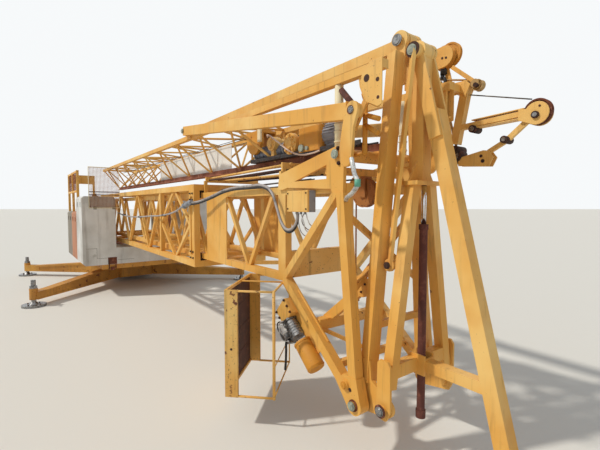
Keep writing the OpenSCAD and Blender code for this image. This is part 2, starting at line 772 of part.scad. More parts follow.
// Root of the jib: pivot tube, side plates under the upper chords, struts and the cream post
module jib_root_frame() {
    c = jib_pivot;
    y_tube = head_y - gap;
    plate_y = jib_y;
    z_top = jib_zu - jib_chord / 2;
    color(yellow) at_axis() difference() {
        union() {
            pin(c, 100, -y_tube, y_tube);
            translate([c[0] - 30, -30, c[1]]) cube([100, 60, jib_zl - jib_chord / 2 - c[1]]);
            both() {
                plate([[c[0] + 190, z_top], [jib_end_x, z_top], [jib_end_x, z_top - 190],
                    [c[0] + 330, z_top - 300], [c[0] + 230, z_top - 250]], plate_y, 24);
                bar([c[0], plate_y, c[1]], [c[0] + 290, plate_y, z_top - 240], 60, 24 - inset);
            }
        }
        both() pin(c, head_pin_d + 2 * play, y_tube - 60, y_tube + 1);
        translate([jib_x0, -2 * jib_y, z_top]) cube([2 * jib_l, 4 * jib_y, jib_chord]);
    }
    color(cream) at_axis() both() difference() {
        bar([c[0] - 10, plate_y, c[1]], [c[0] - 10, plate_y, z_top], 36, 36);
        pin(c, 100, 0, 2 * jib_y);
    }
}

tie_y = jib_y + jib_chord / 2 + 45;
lever_y = head_y + bracket_plate_t + 20 + gap + 15;

// Struts that hold the jib from above: levers at the root and long beams to the chord lugs
module jib_tie_beams() {
    lever_low = jib_pivot + [120, -140];
    lever_top = jib_pivot + [190, 310];
    lug = [jib_pivot[0] - 3180, jib_zu + jib_chord / 2 + 55];
    color(yellow) at_axis() both() {
        bar([lever_top[0], tie_y, lever_top[1]], [lug[0], tie_y, lug[1]], 100, 60);
        plate([[lug[0] - 60, jib_zu - jib_chord / 2], [lug[0] + 140, jib_zu - jib_chord / 2],
            [lug[0] + 60, lug[1] + 50], [lug[0] - 60, lug[1] + 50]], tie_y - 37.5, 15);
        eye(lever_top, 62, lever_y, 30);
        pin(lever_top, 60, tie_y, lever_y);
        bar([lever_top[0], lever_y, lever_top[1]], [lever_low[0], lever_y, lever_low[1]], 70,
            30 - inset);
        eye(lever_low, 45, lever_y, 30);
    }
}

// Blank sign board inside the jib
module sign_panel() {
    x1 = jib_pivot[0] - 2680;
    sign_l = 3200;
    color([0.93, 0.93, 0.91]) at_axis() {
        translate([x1 - sign_l, -3, jib_zl + jib_chord / 2 + play]) cube([sign_l, 6, 340]);
    }
}

// Hoist winch in the jib: bed, drum, gearbox, motor and cover
module hoist_winch() {
    x = jib_pivot[0];
    z = jib_zl + jib_chord / 2;
    axle = z + 160;
    color(dark_steel) at_axis() {
        translate([x - 1380, -130, z]) cube([1300, 260, 20]);
        pin([x - 1150, axle], 200, -110, 90);
        for (y = [-125, 90]) pin([x - 1150, axle], 270, y, y + 15);
        for (y = [-130, 105]) translate([x - 1210, y, z + 20]) cube([120, 25, 200]);
    }
    color(yellow) at_axis() {
        translate([x - 930, 0, axle]) rotate([0, 90, 0]) cylinder(d = 210, h = 130, $fn = round_fn);
        translate([x - 900, -60, z + 20]) cube([80, 120, 60]);
        translate([x - 700, -125, z + 20]) cube([330, 250, 250]);
        translate([x - 350, 0, axle]) rotate([0, 90, 0]) cylinder(d = 230, h = 160, $fn = round_fn);
        translate([x - 320, -70, z + 20]) cube([100, 140, 60]);
    }
}

// Sheave frame outboard of the far side of the jib root
module end_sheave_frame() {
    c = jib_pivot;
    y0 = jib_y + 140;
    y1 = y0 + 90;
    top_c = c + [280, 930];
    end_c = c + [1020, 280];
    low_c = c + [860, -60];
    color(yellow) at_axis() {
        for (y = [y0, y1]) {
            plate([[c[0] + 120, jib_zu - 200], [c[0] + 480, jib_zu - 260], [c[0] + 520, jib_zu],
                [c[0] + 340, jib_zu + 110], [c[0] + 150, jib_zu + 60]], y, 14);
            bar([c[0] + 280, y, jib_zu + 60], [top_c[0], y, top_c[1]], 70, 12);
            bar([c[0] + 440, y, jib_zu - 180], [end_c[0], y, end_c[1]], 80, 12);
            bar([c[0] + 420, y, jib_zu - 200], [low_c[0] - 120, y, low_c[1]], 70, 10);
            bar([low_c[0] - 120, y, low_c[1]], [end_c[0] - 80, y, end_c[1] - 40], 50, 8);
            eye(top_c, 60, y, 14);
            eye(end_c, 60, y, 14);
        }
        for (p = [[180, jib_zu - 30], [450, jib_zu - 60]])
            translate([c[0] + p[0], jib_y + 30, p[1] - 30])
                cube([60, y1 - jib_y - 30, 60]);
        pin(top_c, 40, y0 - 12, y1 + 12);
        pin(end_c, 40, y0 - 12, y1 + 12);
    }
    color(steel) at_axis() {
        for (y = [y0 + 12, y0 + 50]) sheave(top_c, 260, 40 + 2 * play, y, 32);
        sheave(end_c, 180, 40 + 2 * play, y0 + 28, 34);
    }
}

// Grooved sheave with a bore, its axis along Y
module sheave(c, d, bore, y, w) {
    r = d / 2;
    groove = w * 0.45;
    translate([c[0], y + w, c[1]]) rotate([90, 0, 0]) rotate_extrude($fn = 48)
        polygon([[bore / 2, 0], [r, 0], [r, w * 0.12], [r - groove, w / 2], [r, w * 0.88],
            [r, w], [bore / 2, w]]);
}

// Guy frames and the tie bar

foot_plate_y = head_y - head_leg / 2 - 40;
foot_plate_t = 30;

// First guy frame: two legs that close at the top, with foot plates on the head pins
module guy_frame() {
    y0 = foot_plate_y;
    fork_y = 75;
    fork_t = 30;
    top_y = 110;
    foot_z = pin_a[1] + 160;
    c = pin_1;
    color(yellow) at_axis() {
        both() difference() {
            union() {
                bar([pin_a[0] + 12, y0 - 20, foot_z], [c[0] - 6, top_y, c[1] - 100], guy_leg,
                    guy_leg);
                plate([[pin_a[0] - 65, pin_a[1]], [pin_a[0] - 35, pin_a[1] + 330],
                    [pin_a[0] + 60, pin_a[1] + 330], [pin_a[0] + 75, pin_a[1] + 190],
                    [pin_b[0] + 20, pin_b[1] + 62], [pin_b[0] + 25, pin_b[1] - 60],
                    [pin_a[0] + 10, pin_a[1] - 65]], y0, foot_plate_t);
                eye(pin_a, 65, y0, foot_plate_t);
                eye(pin_b, 65, y0, foot_plate_t);
                plate([[c[0] - 60, c[1] - 330], [c[0] + 48, c[1] - 330], [c[0] + 60, c[1]],
                    [c[0] - 60, c[1]]], fork_y, fork_t);
                eye(c, 75, fork_y, fork_t);
                pin(pin_b, head_pin_d, y0 - 30, y0 + foot_plate_t / 2 + 60);
            }
            pin(pin_a, head_pin_d + 2 * play, y0 - 60, y0 + 60);
        }
        pin(c, 70, -fork_y - 35, fork_y + 35);
        bar([pin_a[0] + 40, -y0 + 40, foot_z + 420], [pin_a[0] + 40, y0 - 40, foot_z + 420],
            50, 40);
    }
}

column_z = pin_a[1] + 1630;
lug_y = foot_plate_y + foot_plate_t / 2 + gap + 10;

// Second frame: column at the top, collar, two legs and the lower bridge round the cylinder
module strut_frame() {
    x = pin_b[0];
    leg_y = lug_y - 10 - strut_leg / 2;
    collar_y = 95;
    bridge_z = pin_b[1] + 260;
    col = 100;
    color(yellow) at_axis() {
        bar([x, 0, column_z + 30], [x, 0, pin_2[1]], col, col);
        eye(pin_2, col * 0.7, 0, col);
        translate([x - 60, -160, column_z]) cube([145, 320, 30]);
        for (s = [-1, 1])
            translate([x - 6, 0, column_z + 30]) rotate([90, 0, 90]) linear_extrude(12)
                polygon([[s * col / 2, 0], [s * 150, 0], [s * col / 2, 150]]);
        both() difference() {
            union() {
                intersection() {
                    bar([x, leg_y, pin_b[1] + 140], [x, collar_y, column_z + 20],
                        strut_leg, strut_leg);
                    translate([x - 200, 0, 0]) cube([400, 600, column_z]);
                }
                plate([[x - 62, pin_b[1]], [x - 55, pin_b[1] + 330], [x - 35, pin_b[1] + 355],
                    [x + 35, pin_b[1] + 355], [x + 60, pin_b[1] + 320], [x + 62, pin_b[1]],
                    [x + 25, pin_b[1] - 75], [x - 15, pin_b[1] - 75]], lug_y, 20);
                translate([x - 38, 60, bridge_z - 50]) cube([76, leg_y - 70, 100]);
                translate([x - 50, 48, bridge_z - 75]) cube([150, 14, 150]);
                translate([x + 88, -1, bridge_z - 50]) cube([12, 60, 100]);
            }
            pin(pin_b, head_pin_d + 2 * play, lug_y - 30, lug_y + 30);
        }
    }
}

// Long strut from the top pin to the free eye near the floor, with its spacer
module long_strut() {
    v = (long_eye - pin_2) / norm(long_eye - pin_2);
    start = pin_2 + v * 460;
    stop = long_eye - v * 60;
    spacer_z = pin_b[1] + 255;
    spacer_x = pin_2[0] + v[0] * (pin_2[1] - spacer_z) / -v[1];
    color(yellow) at_axis() {
        difference() {
            union() {
                bar([start[0], 0, start[1]], [stop[0], 0, stop[1]], long_leg, long_leg);
                eye(long_eye, long_eye_r, 0, 60);
                for (s = [-1, 1]) {
                    bar([pin_2[0], s * 63, pin_2[1]], [start[0] + v[0] * 200, s * 63,
                        start[1] + v[1] * 200], long_leg * 0.9, 22);
                    eye(pin_2, 72, s * 63, 22);
                }
            }
            pin(long_eye, 50, -40, 40);
        }
        bar([pin_b[0] + 100, 0, spacer_z], [spacer_x - long_leg * 0.45, 0, spacer_z], 80, 80);
    }
    color(steel) at_axis() pin(pin_2, 60, 74, 98);
}

// Erecting cylinder: barrel held in the bridge, with the rod up to the collar
module erecting_cylinder() {
    x = pin_b[0] + 30;
    z0 = pin_a[1] - 140;
    color(rust) at_axis() {
        translate([x, 0, z0]) cylinder(d = cylinder_d, h = 1470, $fn = round_fn);
        translate([x, 0, z0]) cylinder(d = cylinder_d + 14, h = 60, $fn = round_fn);
        translate([x, 0, z0 + 1440]) cylinder(d = cylinder_d + 10, h = 40, $fn = round_fn);
    }
    color(steel) at_axis() translate([x, 0, z0 + 1470])
        cylinder(d = cylinder_d * 0.6, h = column_z - z0 - 1470, $fn = round_fn);
}

// Link bar that hangs from the top pin on the near side
module hanging_link() {
    top = [pin_2[0], -112, pin_2[1]];
    low = [pin_2[0] - 88, -240, pin_2[1] - 1560];
    color(yellow) at_axis() {
        bar(top, low, 24, 70);
        translate(low - [0, -12, 0]) rotate([90, 0, 0]) cylinder(d = 64, h = 24, $fn = round_fn);
        pin([pin_2[0], pin_2[1]], 110, -122, -74);
    }
    color(dark_steel) at_axis() translate(low + [0, 30, 0]) rotate([90, 0, 0])
        cylinder(d = 44, h = 60, $fn = round_fn);
}

tie_lug = [jib_pivot[0] - 3880, pin_1[1] - 10];

// Tie bar from the top of the guy frame back along the jib
module tie_bar() {
    c = pin_1;
    t = 90;
    color(yellow) at_axis() difference() {
        union() {
            bar([c[0], 0, c[1]], [tie_lug[0], 0, tie_lug[1]], 90, 70);
            eye(c, 72, 0, t);
            eye(tie_lug, 60, 0, 70 + inset);
        }
        pin(c, 70 + 2 * play, -t, t);
        pin(tie_lug, 50, -t, t);
    }
}

base_frame();
outrigger_front_near();
outrigger_front_far();
outrigger_rear_near();
outrigger_rear_far();
jack_feet();
turntable_deck();
ballast_front();
ballast_middle();
ballast_rear();
mast_foot_brackets();
ballast_railing();
outer_mast_near();
outer_mast_far();
outer_mast_top();
outer_mast_bottom();
outer_mast_collar();
guide_pads();
inner_mast_near();
inner_mast_far();
inner_mast_top();
inner_mast_bottom();
head_frame_near();
head_frame_far();
head_cross_members();
electric_box();
mast_cable();
service_cage();
lower_winch();
rope_sheave();
jib_near_face();
jib_far_face();
jib_top_face();
jib_lower_chord();
jib_root_frame();
jib_tie_beams();
sign_panel();
hoist_winch();
end_sheave_frame();
guy_frame();
strut_frame();
long_strut();
erecting_cylinder();
hanging_link();
tie_bar();
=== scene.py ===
"""Looks of the folded self-erecting tower crane: finish, fittings, light and camera.

Lengths are in metres. Most places were read from the photograph with a fitted camera, and many
are measured from the jib's pin.
"""
import json
import math

import bmesh
import bpy
from mathutils import Matrix, Vector


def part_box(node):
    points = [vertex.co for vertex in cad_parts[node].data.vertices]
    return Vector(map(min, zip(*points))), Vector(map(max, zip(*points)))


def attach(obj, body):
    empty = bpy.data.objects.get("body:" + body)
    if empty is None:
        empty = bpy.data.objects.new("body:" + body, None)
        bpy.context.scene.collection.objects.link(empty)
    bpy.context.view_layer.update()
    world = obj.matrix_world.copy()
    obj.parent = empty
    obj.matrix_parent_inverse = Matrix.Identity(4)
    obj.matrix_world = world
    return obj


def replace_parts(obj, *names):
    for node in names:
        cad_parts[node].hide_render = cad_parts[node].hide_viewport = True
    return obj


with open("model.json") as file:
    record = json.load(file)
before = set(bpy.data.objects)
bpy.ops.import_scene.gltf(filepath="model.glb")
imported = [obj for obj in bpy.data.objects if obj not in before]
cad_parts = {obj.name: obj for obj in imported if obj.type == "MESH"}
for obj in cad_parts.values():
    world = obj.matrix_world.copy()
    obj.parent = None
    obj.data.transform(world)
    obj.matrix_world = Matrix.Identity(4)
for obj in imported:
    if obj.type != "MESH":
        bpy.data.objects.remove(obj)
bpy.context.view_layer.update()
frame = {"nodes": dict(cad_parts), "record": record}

NODES = frame["nodes"]
JOINTS = {j["name"]: j for j in frame["record"]["behaviour"]["joints"]}


def joint_at(name):
    """Place of a joint's pin, in metres."""
    return Vector(JOINTS[name]["pos_m"])


SLEW = joint_at("slew")
MAST_PIN = joint_at("mast_raise")
JIB_PIN = joint_at("jib_unfold")
PIN_A = joint_at("guy_swing")  # the first guy frame on the head
PIN_B = joint_at("strut_swing")  # the second frame on the first one's foot
PIN_1 = joint_at("tie_bar_swing")  # top of the first guy frame
PIN_DROP = 0.12  # the second frame's top pin lies this far below PIN_1
PIN_2 = PIN_B + Vector((0, 0, PIN_1.z - PIN_B.z - PIN_DROP))


# Colours, 0 to 255, as they look in daylight

def srgb(r, g, b):
    """The colour as Blender's linear one."""
    def linear(c):
        c /= 255
        return c / 12.92 if c <= 0.04045 else ((c + 0.055) / 1.055) ** 2.4
    return (linear(r), linear(g), linear(b), 1.0)


YELLOW = (226, 168, 76)
YELLOW_PALE = (240, 200, 122)
ORANGE = (196, 122, 40)
RUST = (112, 58, 34)
RUST_DARK = (62, 36, 26)
RUST_PINK = (168, 110, 88)
GRIME = (92, 72, 46)
CONCRETE_DARK = (182, 180, 174)


# Materials

def new_material(name):
    """New material, its node tree and its shader."""
    mat = bpy.data.materials.new(name)
    mat.use_nodes = True
    tree = mat.node_tree
    return mat, tree, tree.nodes["Principled BSDF"]


def give(tree, node, key, value):
    """Links a socket to the input of that name, or sets the input or the setting."""
    if isinstance(value, bpy.types.NodeSocket):
        tree.links.new(value, node.inputs[key])
    elif key in node.inputs:
        node.inputs[key].default_value = value
    else:
        setattr(node, key, value)


def node_of(tree, kind, **values):
    """New shader node with its inputs and settings."""
    made = tree.nodes.new("ShaderNode" + kind)
    for key, value in values.items():
        give(tree, made, key, value)
    return made


def noise(tree, scale, detail, stretch=None, rough=0.55):
    """Noise in the object's own metres, stretched along an axis if asked."""
    source = node_of(tree, "TexCoord").outputs["Object"]
    if stretch:
        source = node_of(tree, "Mapping", Scale=stretch, Vector=source).outputs["Vector"]
    return node_of(tree, "TexNoise", Scale=scale, Detail=detail, Roughness=rough,
                   Vector=source).outputs["Fac"]


def ramp(tree, source, low, high, top=1.0):
    """Zero below low, top above high."""
    values = {"From Min": low, "From Max": high, "To Max": top, "Value": source}
    return node_of(tree, "MapRange", **values).outputs["Result"]


def mix(tree, factor, first, second):
    """Colour mix; first and second are colours or sockets."""
    made = node_of(tree, "Mix", data_type="RGBA")
    tree.links.new(factor, made.inputs[0])
    for slot, value in ((made.inputs[6], first), (made.inputs[7], second)):
        if isinstance(value, tuple):
            slot.default_value = srgb(*value)
        else:
            tree.links.new(value, slot)
    return made.outputs[2]


def patches(tree, colour, over, scale, detail, low, high, top=1.0, stretch=None, rough=0.55):
    """Lays patches of another colour over the first, where a noise is high."""
    amount = ramp(tree, noise(tree, scale, detail, stretch, rough), low, high, top)
    return mix(tree, amount, colour, over)


def finished(mat, tree, bsdf, colour, rough, heights, strength, distance):
    """Joins colour, roughness (a number or a socket) and bumps, their distance in metres."""
    bump = node_of(tree, "Bump", Strength=strength, Distance=distance, Height=heights)
    give(tree, bsdf, "Base Color", colour)
    give(tree, bsdf, "Roughness", rough)
    give(tree, bsdf, "Normal", bump.outputs["Normal"])
    return mat


def painted(name, coat, pale, deep, rust, rough=0.5):
    """Sun-faded paint with run-down dirt, flakes of rust and a faint orange peel."""
    mat, tree, bsdf = new_material(name)
    colour = patches(tree, coat, pale, 1.1, 4, 0.4, 0.68)
    colour = patches(tree, colour, deep, 2.3, 6, 0.52, 0.8, 0.55)
    colour = patches(tree, colour, GRIME, 1.0, 6, 0.56, 0.78, 0.42, (22, 22, 1.6))
    low = 0.70 - 0.12 * rust
    colour = patches(tree, colour, RUST, 8.0, 9, low, low + 0.035, rough=0.68)
    colour = patches(tree, colour, RUST_DARK, 55.0, 4, low + 0.02, low + 0.06, 0.75, rough=0.6)
    add = node_of(tree, "Math", operation="ADD")
    add.inputs[1].default_value = rough
    tree.links.new(ramp(tree, noise(tree, 6.0, 5), 0.35, 0.75, 0.25), add.inputs[0])
    return finished(mat, tree, bsdf, colour, add.outputs[0], noise(tree, 140.0, 3), 0.12, 0.002)


def metal(name, coat, worn, metallic=0.8, rough=0.45):
    """Bare metal with duller spots."""
    mat, tree, bsdf = new_material(name)
    colour = patches(tree, coat, worn, 26.0, 6, 0.45, 0.7)
    give(tree, bsdf, "Metallic", metallic)
    spread = ramp(tree, noise(tree, 40.0, 4), 0.2, 0.9, rough * 1.6)
    return finished(mat, tree, bsdf, colour, spread, noise(tree, 90.0, 4), 0.15, 0.002)


def rusty(name, coat, deep, pale):
    """Rust with dark clouds and pale grains."""
    mat, tree, bsdf = new_material(name)
    colour = patches(tree, coat, deep, 3.0, 7, 0.38, 0.65)
    colour = patches(tree, colour, pale, 16.0, 8, 0.52, 0.66, 0.8, rough=0.7)
    return finished(mat, tree, bsdf, colour, 0.85, noise(tree, 70.0, 8, None, 0.7), 0.5, 0.004)


def concrete(name, coat, dark):
    """Cast concrete: cloudy patches, rain streaks, fine pores and some moss."""
    mat, tree, bsdf = new_material(name)
    colour = patches(tree, coat, dark, 1.6, 8, 0.4, 0.72)
    colour = patches(tree, colour, GRIME, 1.0, 7, 0.55, 0.8, 0.5, (9, 9, 0.9))
    colour = patches(tree, colour, CONCRETE_DARK, 48.0, 6, 0.62, 0.68, 0.6, rough=0.75)
    colour = patches(tree, colour, (96, 96, 66), 5.0, 8, 0.66, 0.78, 0.5)
    return finished(mat, tree, bsdf, colour, 0.92, noise(tree, 55.0, 9, None, 0.75), 0.6, 0.006)


def plastic(name, coat, worn, rough):
    """Plastic, rubber or sealing with worn spots."""
    mat, tree, bsdf = new_material(name)
    colour = patches(tree, coat, worn, 12.0, 6, 0.5, 0.75)
    return finished(mat, tree, bsdf, colour, rough, noise(tree, 200.0, 2), 0.1, 0.001)


M = {
    "yellow": painted("yellow_paint", YELLOW, YELLOW_PALE, ORANGE, 0.25),
    "worn_yellow": painted("worn_yellow_paint", YELLOW, YELLOW_PALE, ORANGE, 0.75),
    "base": painted("base_paint", (190, 132, 58), YELLOW, (120, 80, 40), 0.8, 0.6),
    "orange": painted("winch_paint", (206, 140, 40), YELLOW, ORANGE, 0.5),
    "cream": painted("cream_paint", (232, 218, 180), (240, 230, 200), YELLOW, 0.4),
    "concrete": concrete("pale_concrete", (222, 222, 219), CONCRETE_DARK),
    "terracotta": concrete("red_concrete", (190, 134, 104), (160, 108, 84)),
    "grey_concrete": concrete("grey_concrete", (150, 144, 132), (118, 112, 102)),
    "rust": rusty("rusty_steel", RUST, RUST_DARK, RUST_PINK),
    "rail": rusty("rusty_rail", RUST_PINK, RUST, (196, 140, 112)),
    # Dark rust on bolts, pins and rods; the same dark material also paints the shade of holes that
    # are not cut.
    "dark_rust": rusty("dark_rust", RUST_DARK, (44, 28, 22), RUST),
    "oxide": rusty("red_oxide", (98, 54, 44), (78, 42, 36), (128, 76, 62)),
    "steel": metal("worn_steel", (150, 150, 150), (84, 82, 80)),
    "chrome": metal("cylinder_chrome", (214, 214, 216), (176, 176, 178), 1.0, 0.14),
    "dark": metal("dark_steel", (58, 54, 52), RUST_DARK, 0.4, 0.6),
    "rope": metal("wire_rope", (104, 98, 90), (70, 60, 52), 0.5, 0.6),
    "pin": metal("pin_ends", (158, 166, 150), (128, 128, 116), 0.2, 0.5),
    "grey": plastic("grey_cover", (146, 152, 162), (118, 122, 128), 0.55),
    "black": plastic("black_rubber", (34, 34, 36), (62, 60, 58), 0.6),
    "cable": plastic("grey_cable", (168, 162, 160), (96, 92, 92), 0.55),
    "motor_grey": plastic("motor_grey", (150, 150, 158), (96, 92, 92), 0.5),
    "drum_rope": metal("drum_rope", (150, 156, 172), (70, 68, 76), 0.3, 0.55),
    "pale_hose": plastic("pale_hose", (222, 200, 186), (170, 140, 124), 0.55),
    "white_lead": plastic("white_lead", (222, 222, 220), (160, 158, 156), 0.5),
    "foil": metal("foil_sleeve", (204, 206, 204), (132, 130, 126), 0.6, 0.5),
    "tape": plastic("green_tape", (96, 168, 142), (60, 110, 92), 0.45),
    "dull_yellow": painted("dull_yellow_paint", (176, 140, 84), (200, 168, 110), RUST, 0.9),
    "sheave_brown": painted("sheave_brown", (164, 104, 50), (190, 134, 74), RUST, 0.9),
    "cage_rust": rusty("cage_rust", (84, 50, 38), (58, 38, 32), (120, 76, 50)),
    "seam": plastic("cast_seam", (120, 116, 108), (92, 84, 74), 0.9),
    "white": painted("white_board", (228, 228, 224), (238, 238, 236), (196, 192, 182), 0.3, 0.45),
}

NODE_LOOKS = {
    "base": ["base_frame", "outrigger_front_near", "outrigger_front_far",
             "outrigger_rear_near", "outrigger_rear_far", "turntable_deck"],
    "concrete": ["ballast_front"],
    "terracotta": ["ballast_middle"],
    "grey_concrete": ["ballast_rear"],
    "steel": ["jack_feet"],
    "dark": ["guide_pads"],
    "sheave_brown": ["rope_sheave"],
    "rail": ["jib_lower_chord"],
    "oxide": ["erecting_cylinder"],
    "white": ["sign_panel"],
    "orange": ["hoist_winch", "lower_winch"],
    "worn_yellow": ["ballast_railing", "mast_foot_brackets", "end_sheave_frame", "service_cage",
                    "jib_root_frame", "head_cross_members"],
}
BALLAST = ("ballast_front", "ballast_middle", "ballast_rear")
BLOCK_EDGE, STEEL_EDGE = 0.012, 0.0035
EDGE_ANGLE = math.radians(40)


def soften(obj, width):
    """Rounds the hard edges of a piece a little."""
    edge = obj.modifiers.new("worn_edge", "BEVEL")
    edge.width = width
    edge.segments = 2
    edge.limit_method = "ANGLE"
    edge.angle_limit = EDGE_ANGLE
    return obj


def dress_nodes():
    """Gives each CAD node its material and a small worn edge."""
    look = {n: key for key, names in NODE_LOOKS.items() for n in names}
    for name, obj in NODES.items():
        obj.data.materials.clear()
        obj.data.materials.append(M[look.get(name, "yellow")])
        soften(obj, BLOCK_EDGE if name in BALLAST else STEEL_EDGE)


# Building blocks

AHEAD, ACROSS, UP = (1, 0, 0), (0, 1, 0), (0, 0, 1)
BOTH = (-1, 1)
SIDES = ((-1, "near"), (1, "far"))


def placed(name, data):
    """New object in the scene."""
    obj = bpy.data.objects.new(name, data)
    bpy.context.scene.collection.objects.link(obj)
    return obj


def fitting(name, data, mat, body):
    """New object with its material, riding its body."""
    data.materials.append(M[mat])
    obj = placed(name, data)
    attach(obj, body)
    return obj


def arc(cx, cz, r, start, stop, steps=10):
    """Points of an arc in an upright plane, in degrees from +X towards +Z."""
    turns = (math.radians(start + (stop - start) * k / steps) for k in range(steps + 1))
    return [(cx + r * math.cos(t), cz + r * math.sin(t)) for t in turns]


def full_turn(steps):
    """Angles of a full turn, in radians."""
    return [2 * math.pi * k / steps for k in range(steps)]


def mirrored(*pairs):
    """Each pair of ends on the near side and on the far side."""
    return [[(x, y * s, z) for x, y, z in pair] for s in BOTH for pair in pairs]


class Piece:
    """A mesh in the making. Its places are in metres from the point at."""

    def __init__(self, at=(0, 0, 0)):
        self.bm, self.at = bmesh.new(), Vector(at)

    def rod(self, place, direction, radius, depth, sides=24, end=None):
        """Cylinder about its middle, or a cone if another radius is given for its end."""
        turn = Vector(direction).to_track_quat("Z", "Y").to_matrix().to_4x4()
        bmesh.ops.create_cone(self.bm, cap_ends=True, segments=sides, radius1=radius,
                              radius2=radius if end is None else end, depth=depth,
                              matrix=Matrix.Translation(self.at + Vector(place)) @ turn)

    def line(self, a, b, radius, sides, stretch=1.0):
        """Rod between two places."""
        a, b = Vector(a), Vector(b)
        self.rod((a + b) / 2, b - a, radius, (b - a).length * stretch, sides)

    def block(self, place):
        """Unit cube under a matrix."""
        bmesh.ops.create_cube(self.bm, size=1.0, matrix=place)

    def box(self, a, b):
        """Box between two opposite corners."""
        a, b = self.at + Vector(a), self.at + Vector(b)
        size = [abs(v) for v in b - a]
        self.block(Matrix.Translation((a + b) / 2) @ Matrix.Diagonal((*size, 1)))

    def prism(self, ring, axis, stop):
        """Solid from the ring's face, which is pulled along an axis to the stop."""
        face = self.bm.faces.new([self.bm.verts.new(p) for p in ring])
        for part in bmesh.ops.extrude_face_region(self.bm, geom=[face])["geom"]:
            if isinstance(part, bmesh.types.BMVert):
                part.co[axis] = stop
        bmesh.ops.recalc_face_normals(self.bm, faces=self.bm.faces)

    def plate(self, outline, *sides):
        """Upright plate with an (x, z) outline, between two values of y."""
        y0, y1 = sorted(self.at.y + y for y in sides)
        self.prism([(self.at.x + x, y0, self.at.z + z) for x, z in outline], 1, y1)

    def bar(self, a, b, width, thick, y):
        """Flat bar in an upright plane from (x, z) a to b, its middle at y."""
        (ax, az), (bx, bz) = a, b
        length = math.hypot(bx - ax, bz - az)
        nx, nz = -(bz - az) / length * width / 2, (bx - ax) / length * width / 2
        self.plate([(ax + nx, az + nz), (bx + nx, bz + nz), (bx - nx, bz - nz),
                    (ax - nx, az - nz)], y - thick / 2, y + thick / 2)

    def sheave(self, place, radius, width, groove):
        """Grooved rope sheave turned about Y: a ring of profile points, bored in the middle."""
        centre = self.at + Vector(place)
        half = [(0.25 * radius, 0.5), (0.62 * radius, 0.5), (0.66 * radius, 0.3),
                (0.82 * radius, 0.3), (0.86 * radius, 0.5), (radius, 0.5), (radius - groove, 0.12)]
        profile = [(r, -w) for r, w in half] + half[::-1]
        rings = [[self.bm.verts.new((centre.x + r * math.cos(t), centre.y + w * width,
                                     centre.z + r * math.sin(t))) for r, w in profile]
                 for t in full_turn(40)]
        for a, b in zip(rings, rings[1:] + rings[:1]):
            for i in range(len(profile)):
                j = (i + 1) % len(profile)
                self.bm.faces.new((a[i], a[j], b[j], b[i]))
        bmesh.ops.recalc_face_normals(self.bm, faces=self.bm.faces)

    def done(self, name, mat, body, smooth=False, edge=0.0):
        """Ends the piece; edge is the width of its worn edges."""
        mesh = bpy.data.meshes.new(name)
        self.bm.to_mesh(mesh)
        self.bm.free()
        if smooth:
            for face in mesh.polygons:
                face.use_smooth = len(face.vertices) == 4
        obj = fitting(name, mesh, mat, body)
        return soften(obj, edge) if edge else obj


def tube(name, points, radius, mat, body, resolution=12, at=(0, 0, 0)):
    """Round tube along a smooth curve through the points."""
    curve = bpy.data.curves.new(name, "CURVE")
    curve.dimensions = "3D"
    curve.bevel_depth = radius
    curve.bevel_resolution = 3
    curve.resolution_u = resolution
    curve.use_fill_caps = True
    spline = curve.splines.new("BEZIER")
    spline.bezier_points.add(len(points) - 1)
    for knot, place in zip(spline.bezier_points, points):
        knot.co = Vector(at) + Vector(place)
        knot.handle_left_type = knot.handle_right_type = "AUTO"
    return fitting(name, curve, mat, body)


def straight(name, pairs, radius, mat, body, sides=8, at=(0, 0, 0)):
    """Several straight rods joined in one mesh."""
    p = Piece(at)
    for a, b in pairs:
        p.line(a, b, radius, sides)
    return p.done(name, mat, body, True)


def bolts(name, places, direction, size, mat, body, at=(0, 0, 0)):
    """Hexagon heads on washers, joined in one mesh."""
    p = Piece(at)
    d = Vector(direction).normalized()
    for place in places:
        for lift, radius, depth, sides in ((0.08, 0.62, 0.16, 16), (0.36, 0.5, 0.45, 6),
                                           (0.62, 0.26, 0.3, 10)):
            p.rod(Vector(place) + d * size * lift, d, size * radius, size * depth, sides)
    return p.done(name, mat, body)


def pin_cap(name, place, side, radius, body, mat="pin"):
    """Dished end of a pin, set in a thin collar."""
    p = Piece(place)
    d = Vector((0, side, 0))
    p.rod((0, 0, 0), d, radius, 0.012, 32)
    p.rod(d * 0.008, d, radius * 0.84, 0.008, 32, radius * 0.74)
    p.rod(d * 0.012, d, radius * 0.16, 0.004, 12)
    return p.done(name, mat, body, True)


def pin_ring(name, place, side, radius, body, mat="rust"):
    """Flat collar round a pin, rusty by default; in a dark material it also serves as a disc of
    painted shade for an uncut hole.
    """
    p = Piece(place)
    p.rod((0, 0, 0), (0, side, 0), radius, 0.006, 32)
    return p.done(name, mat, body)


# Pins and fittings of the guy frames and the head

PIN_ENDS = (
    (pin_cap, "head_pin_cap", PIN_A, (0, 0.505, 0), 0.034, "mast_inner", "pin"),
    (pin_ring, "head_pin_ring", PIN_A, (0, 0.487, 0), 0.044, "mast_inner", "rust"),
    (pin_cap, "jib_pin_cap", JIB_PIN, (0, 0.492, 0), 0.036, "mast_inner", "pin"),
    (pin_cap, "foot_pin_cap", PIN_B, (0, 0.437, 0), 0.034, "guy_frame", "steel"),
    (pin_ring, "foot_pin_ring", PIN_B, (0, 0.432, 0), 0.047, "guy_frame", "rust"),
    (pin_cap, "top_pin_cap", PIN_1, (0, 0.113, 0), 0.043, "guy_frame", "steel"),
    (pin_cap, "mast_pin_cap", MAST_PIN, (0, 0.648, 0), 0.055, "turntable", "pin"),
    (pin_cap, "boss_cap", PIN_A, (-0.08, 0.508, 0.13), 0.028, "mast_inner", "orange"),
    # Dark disc on the gusset: painted shade of a hole that is not cut.
    (pin_ring, "gusset_hole", PIN_A, (-0.035, 0.4845, 0.105), 0.014, "mast_inner", "dark_rust"),
)


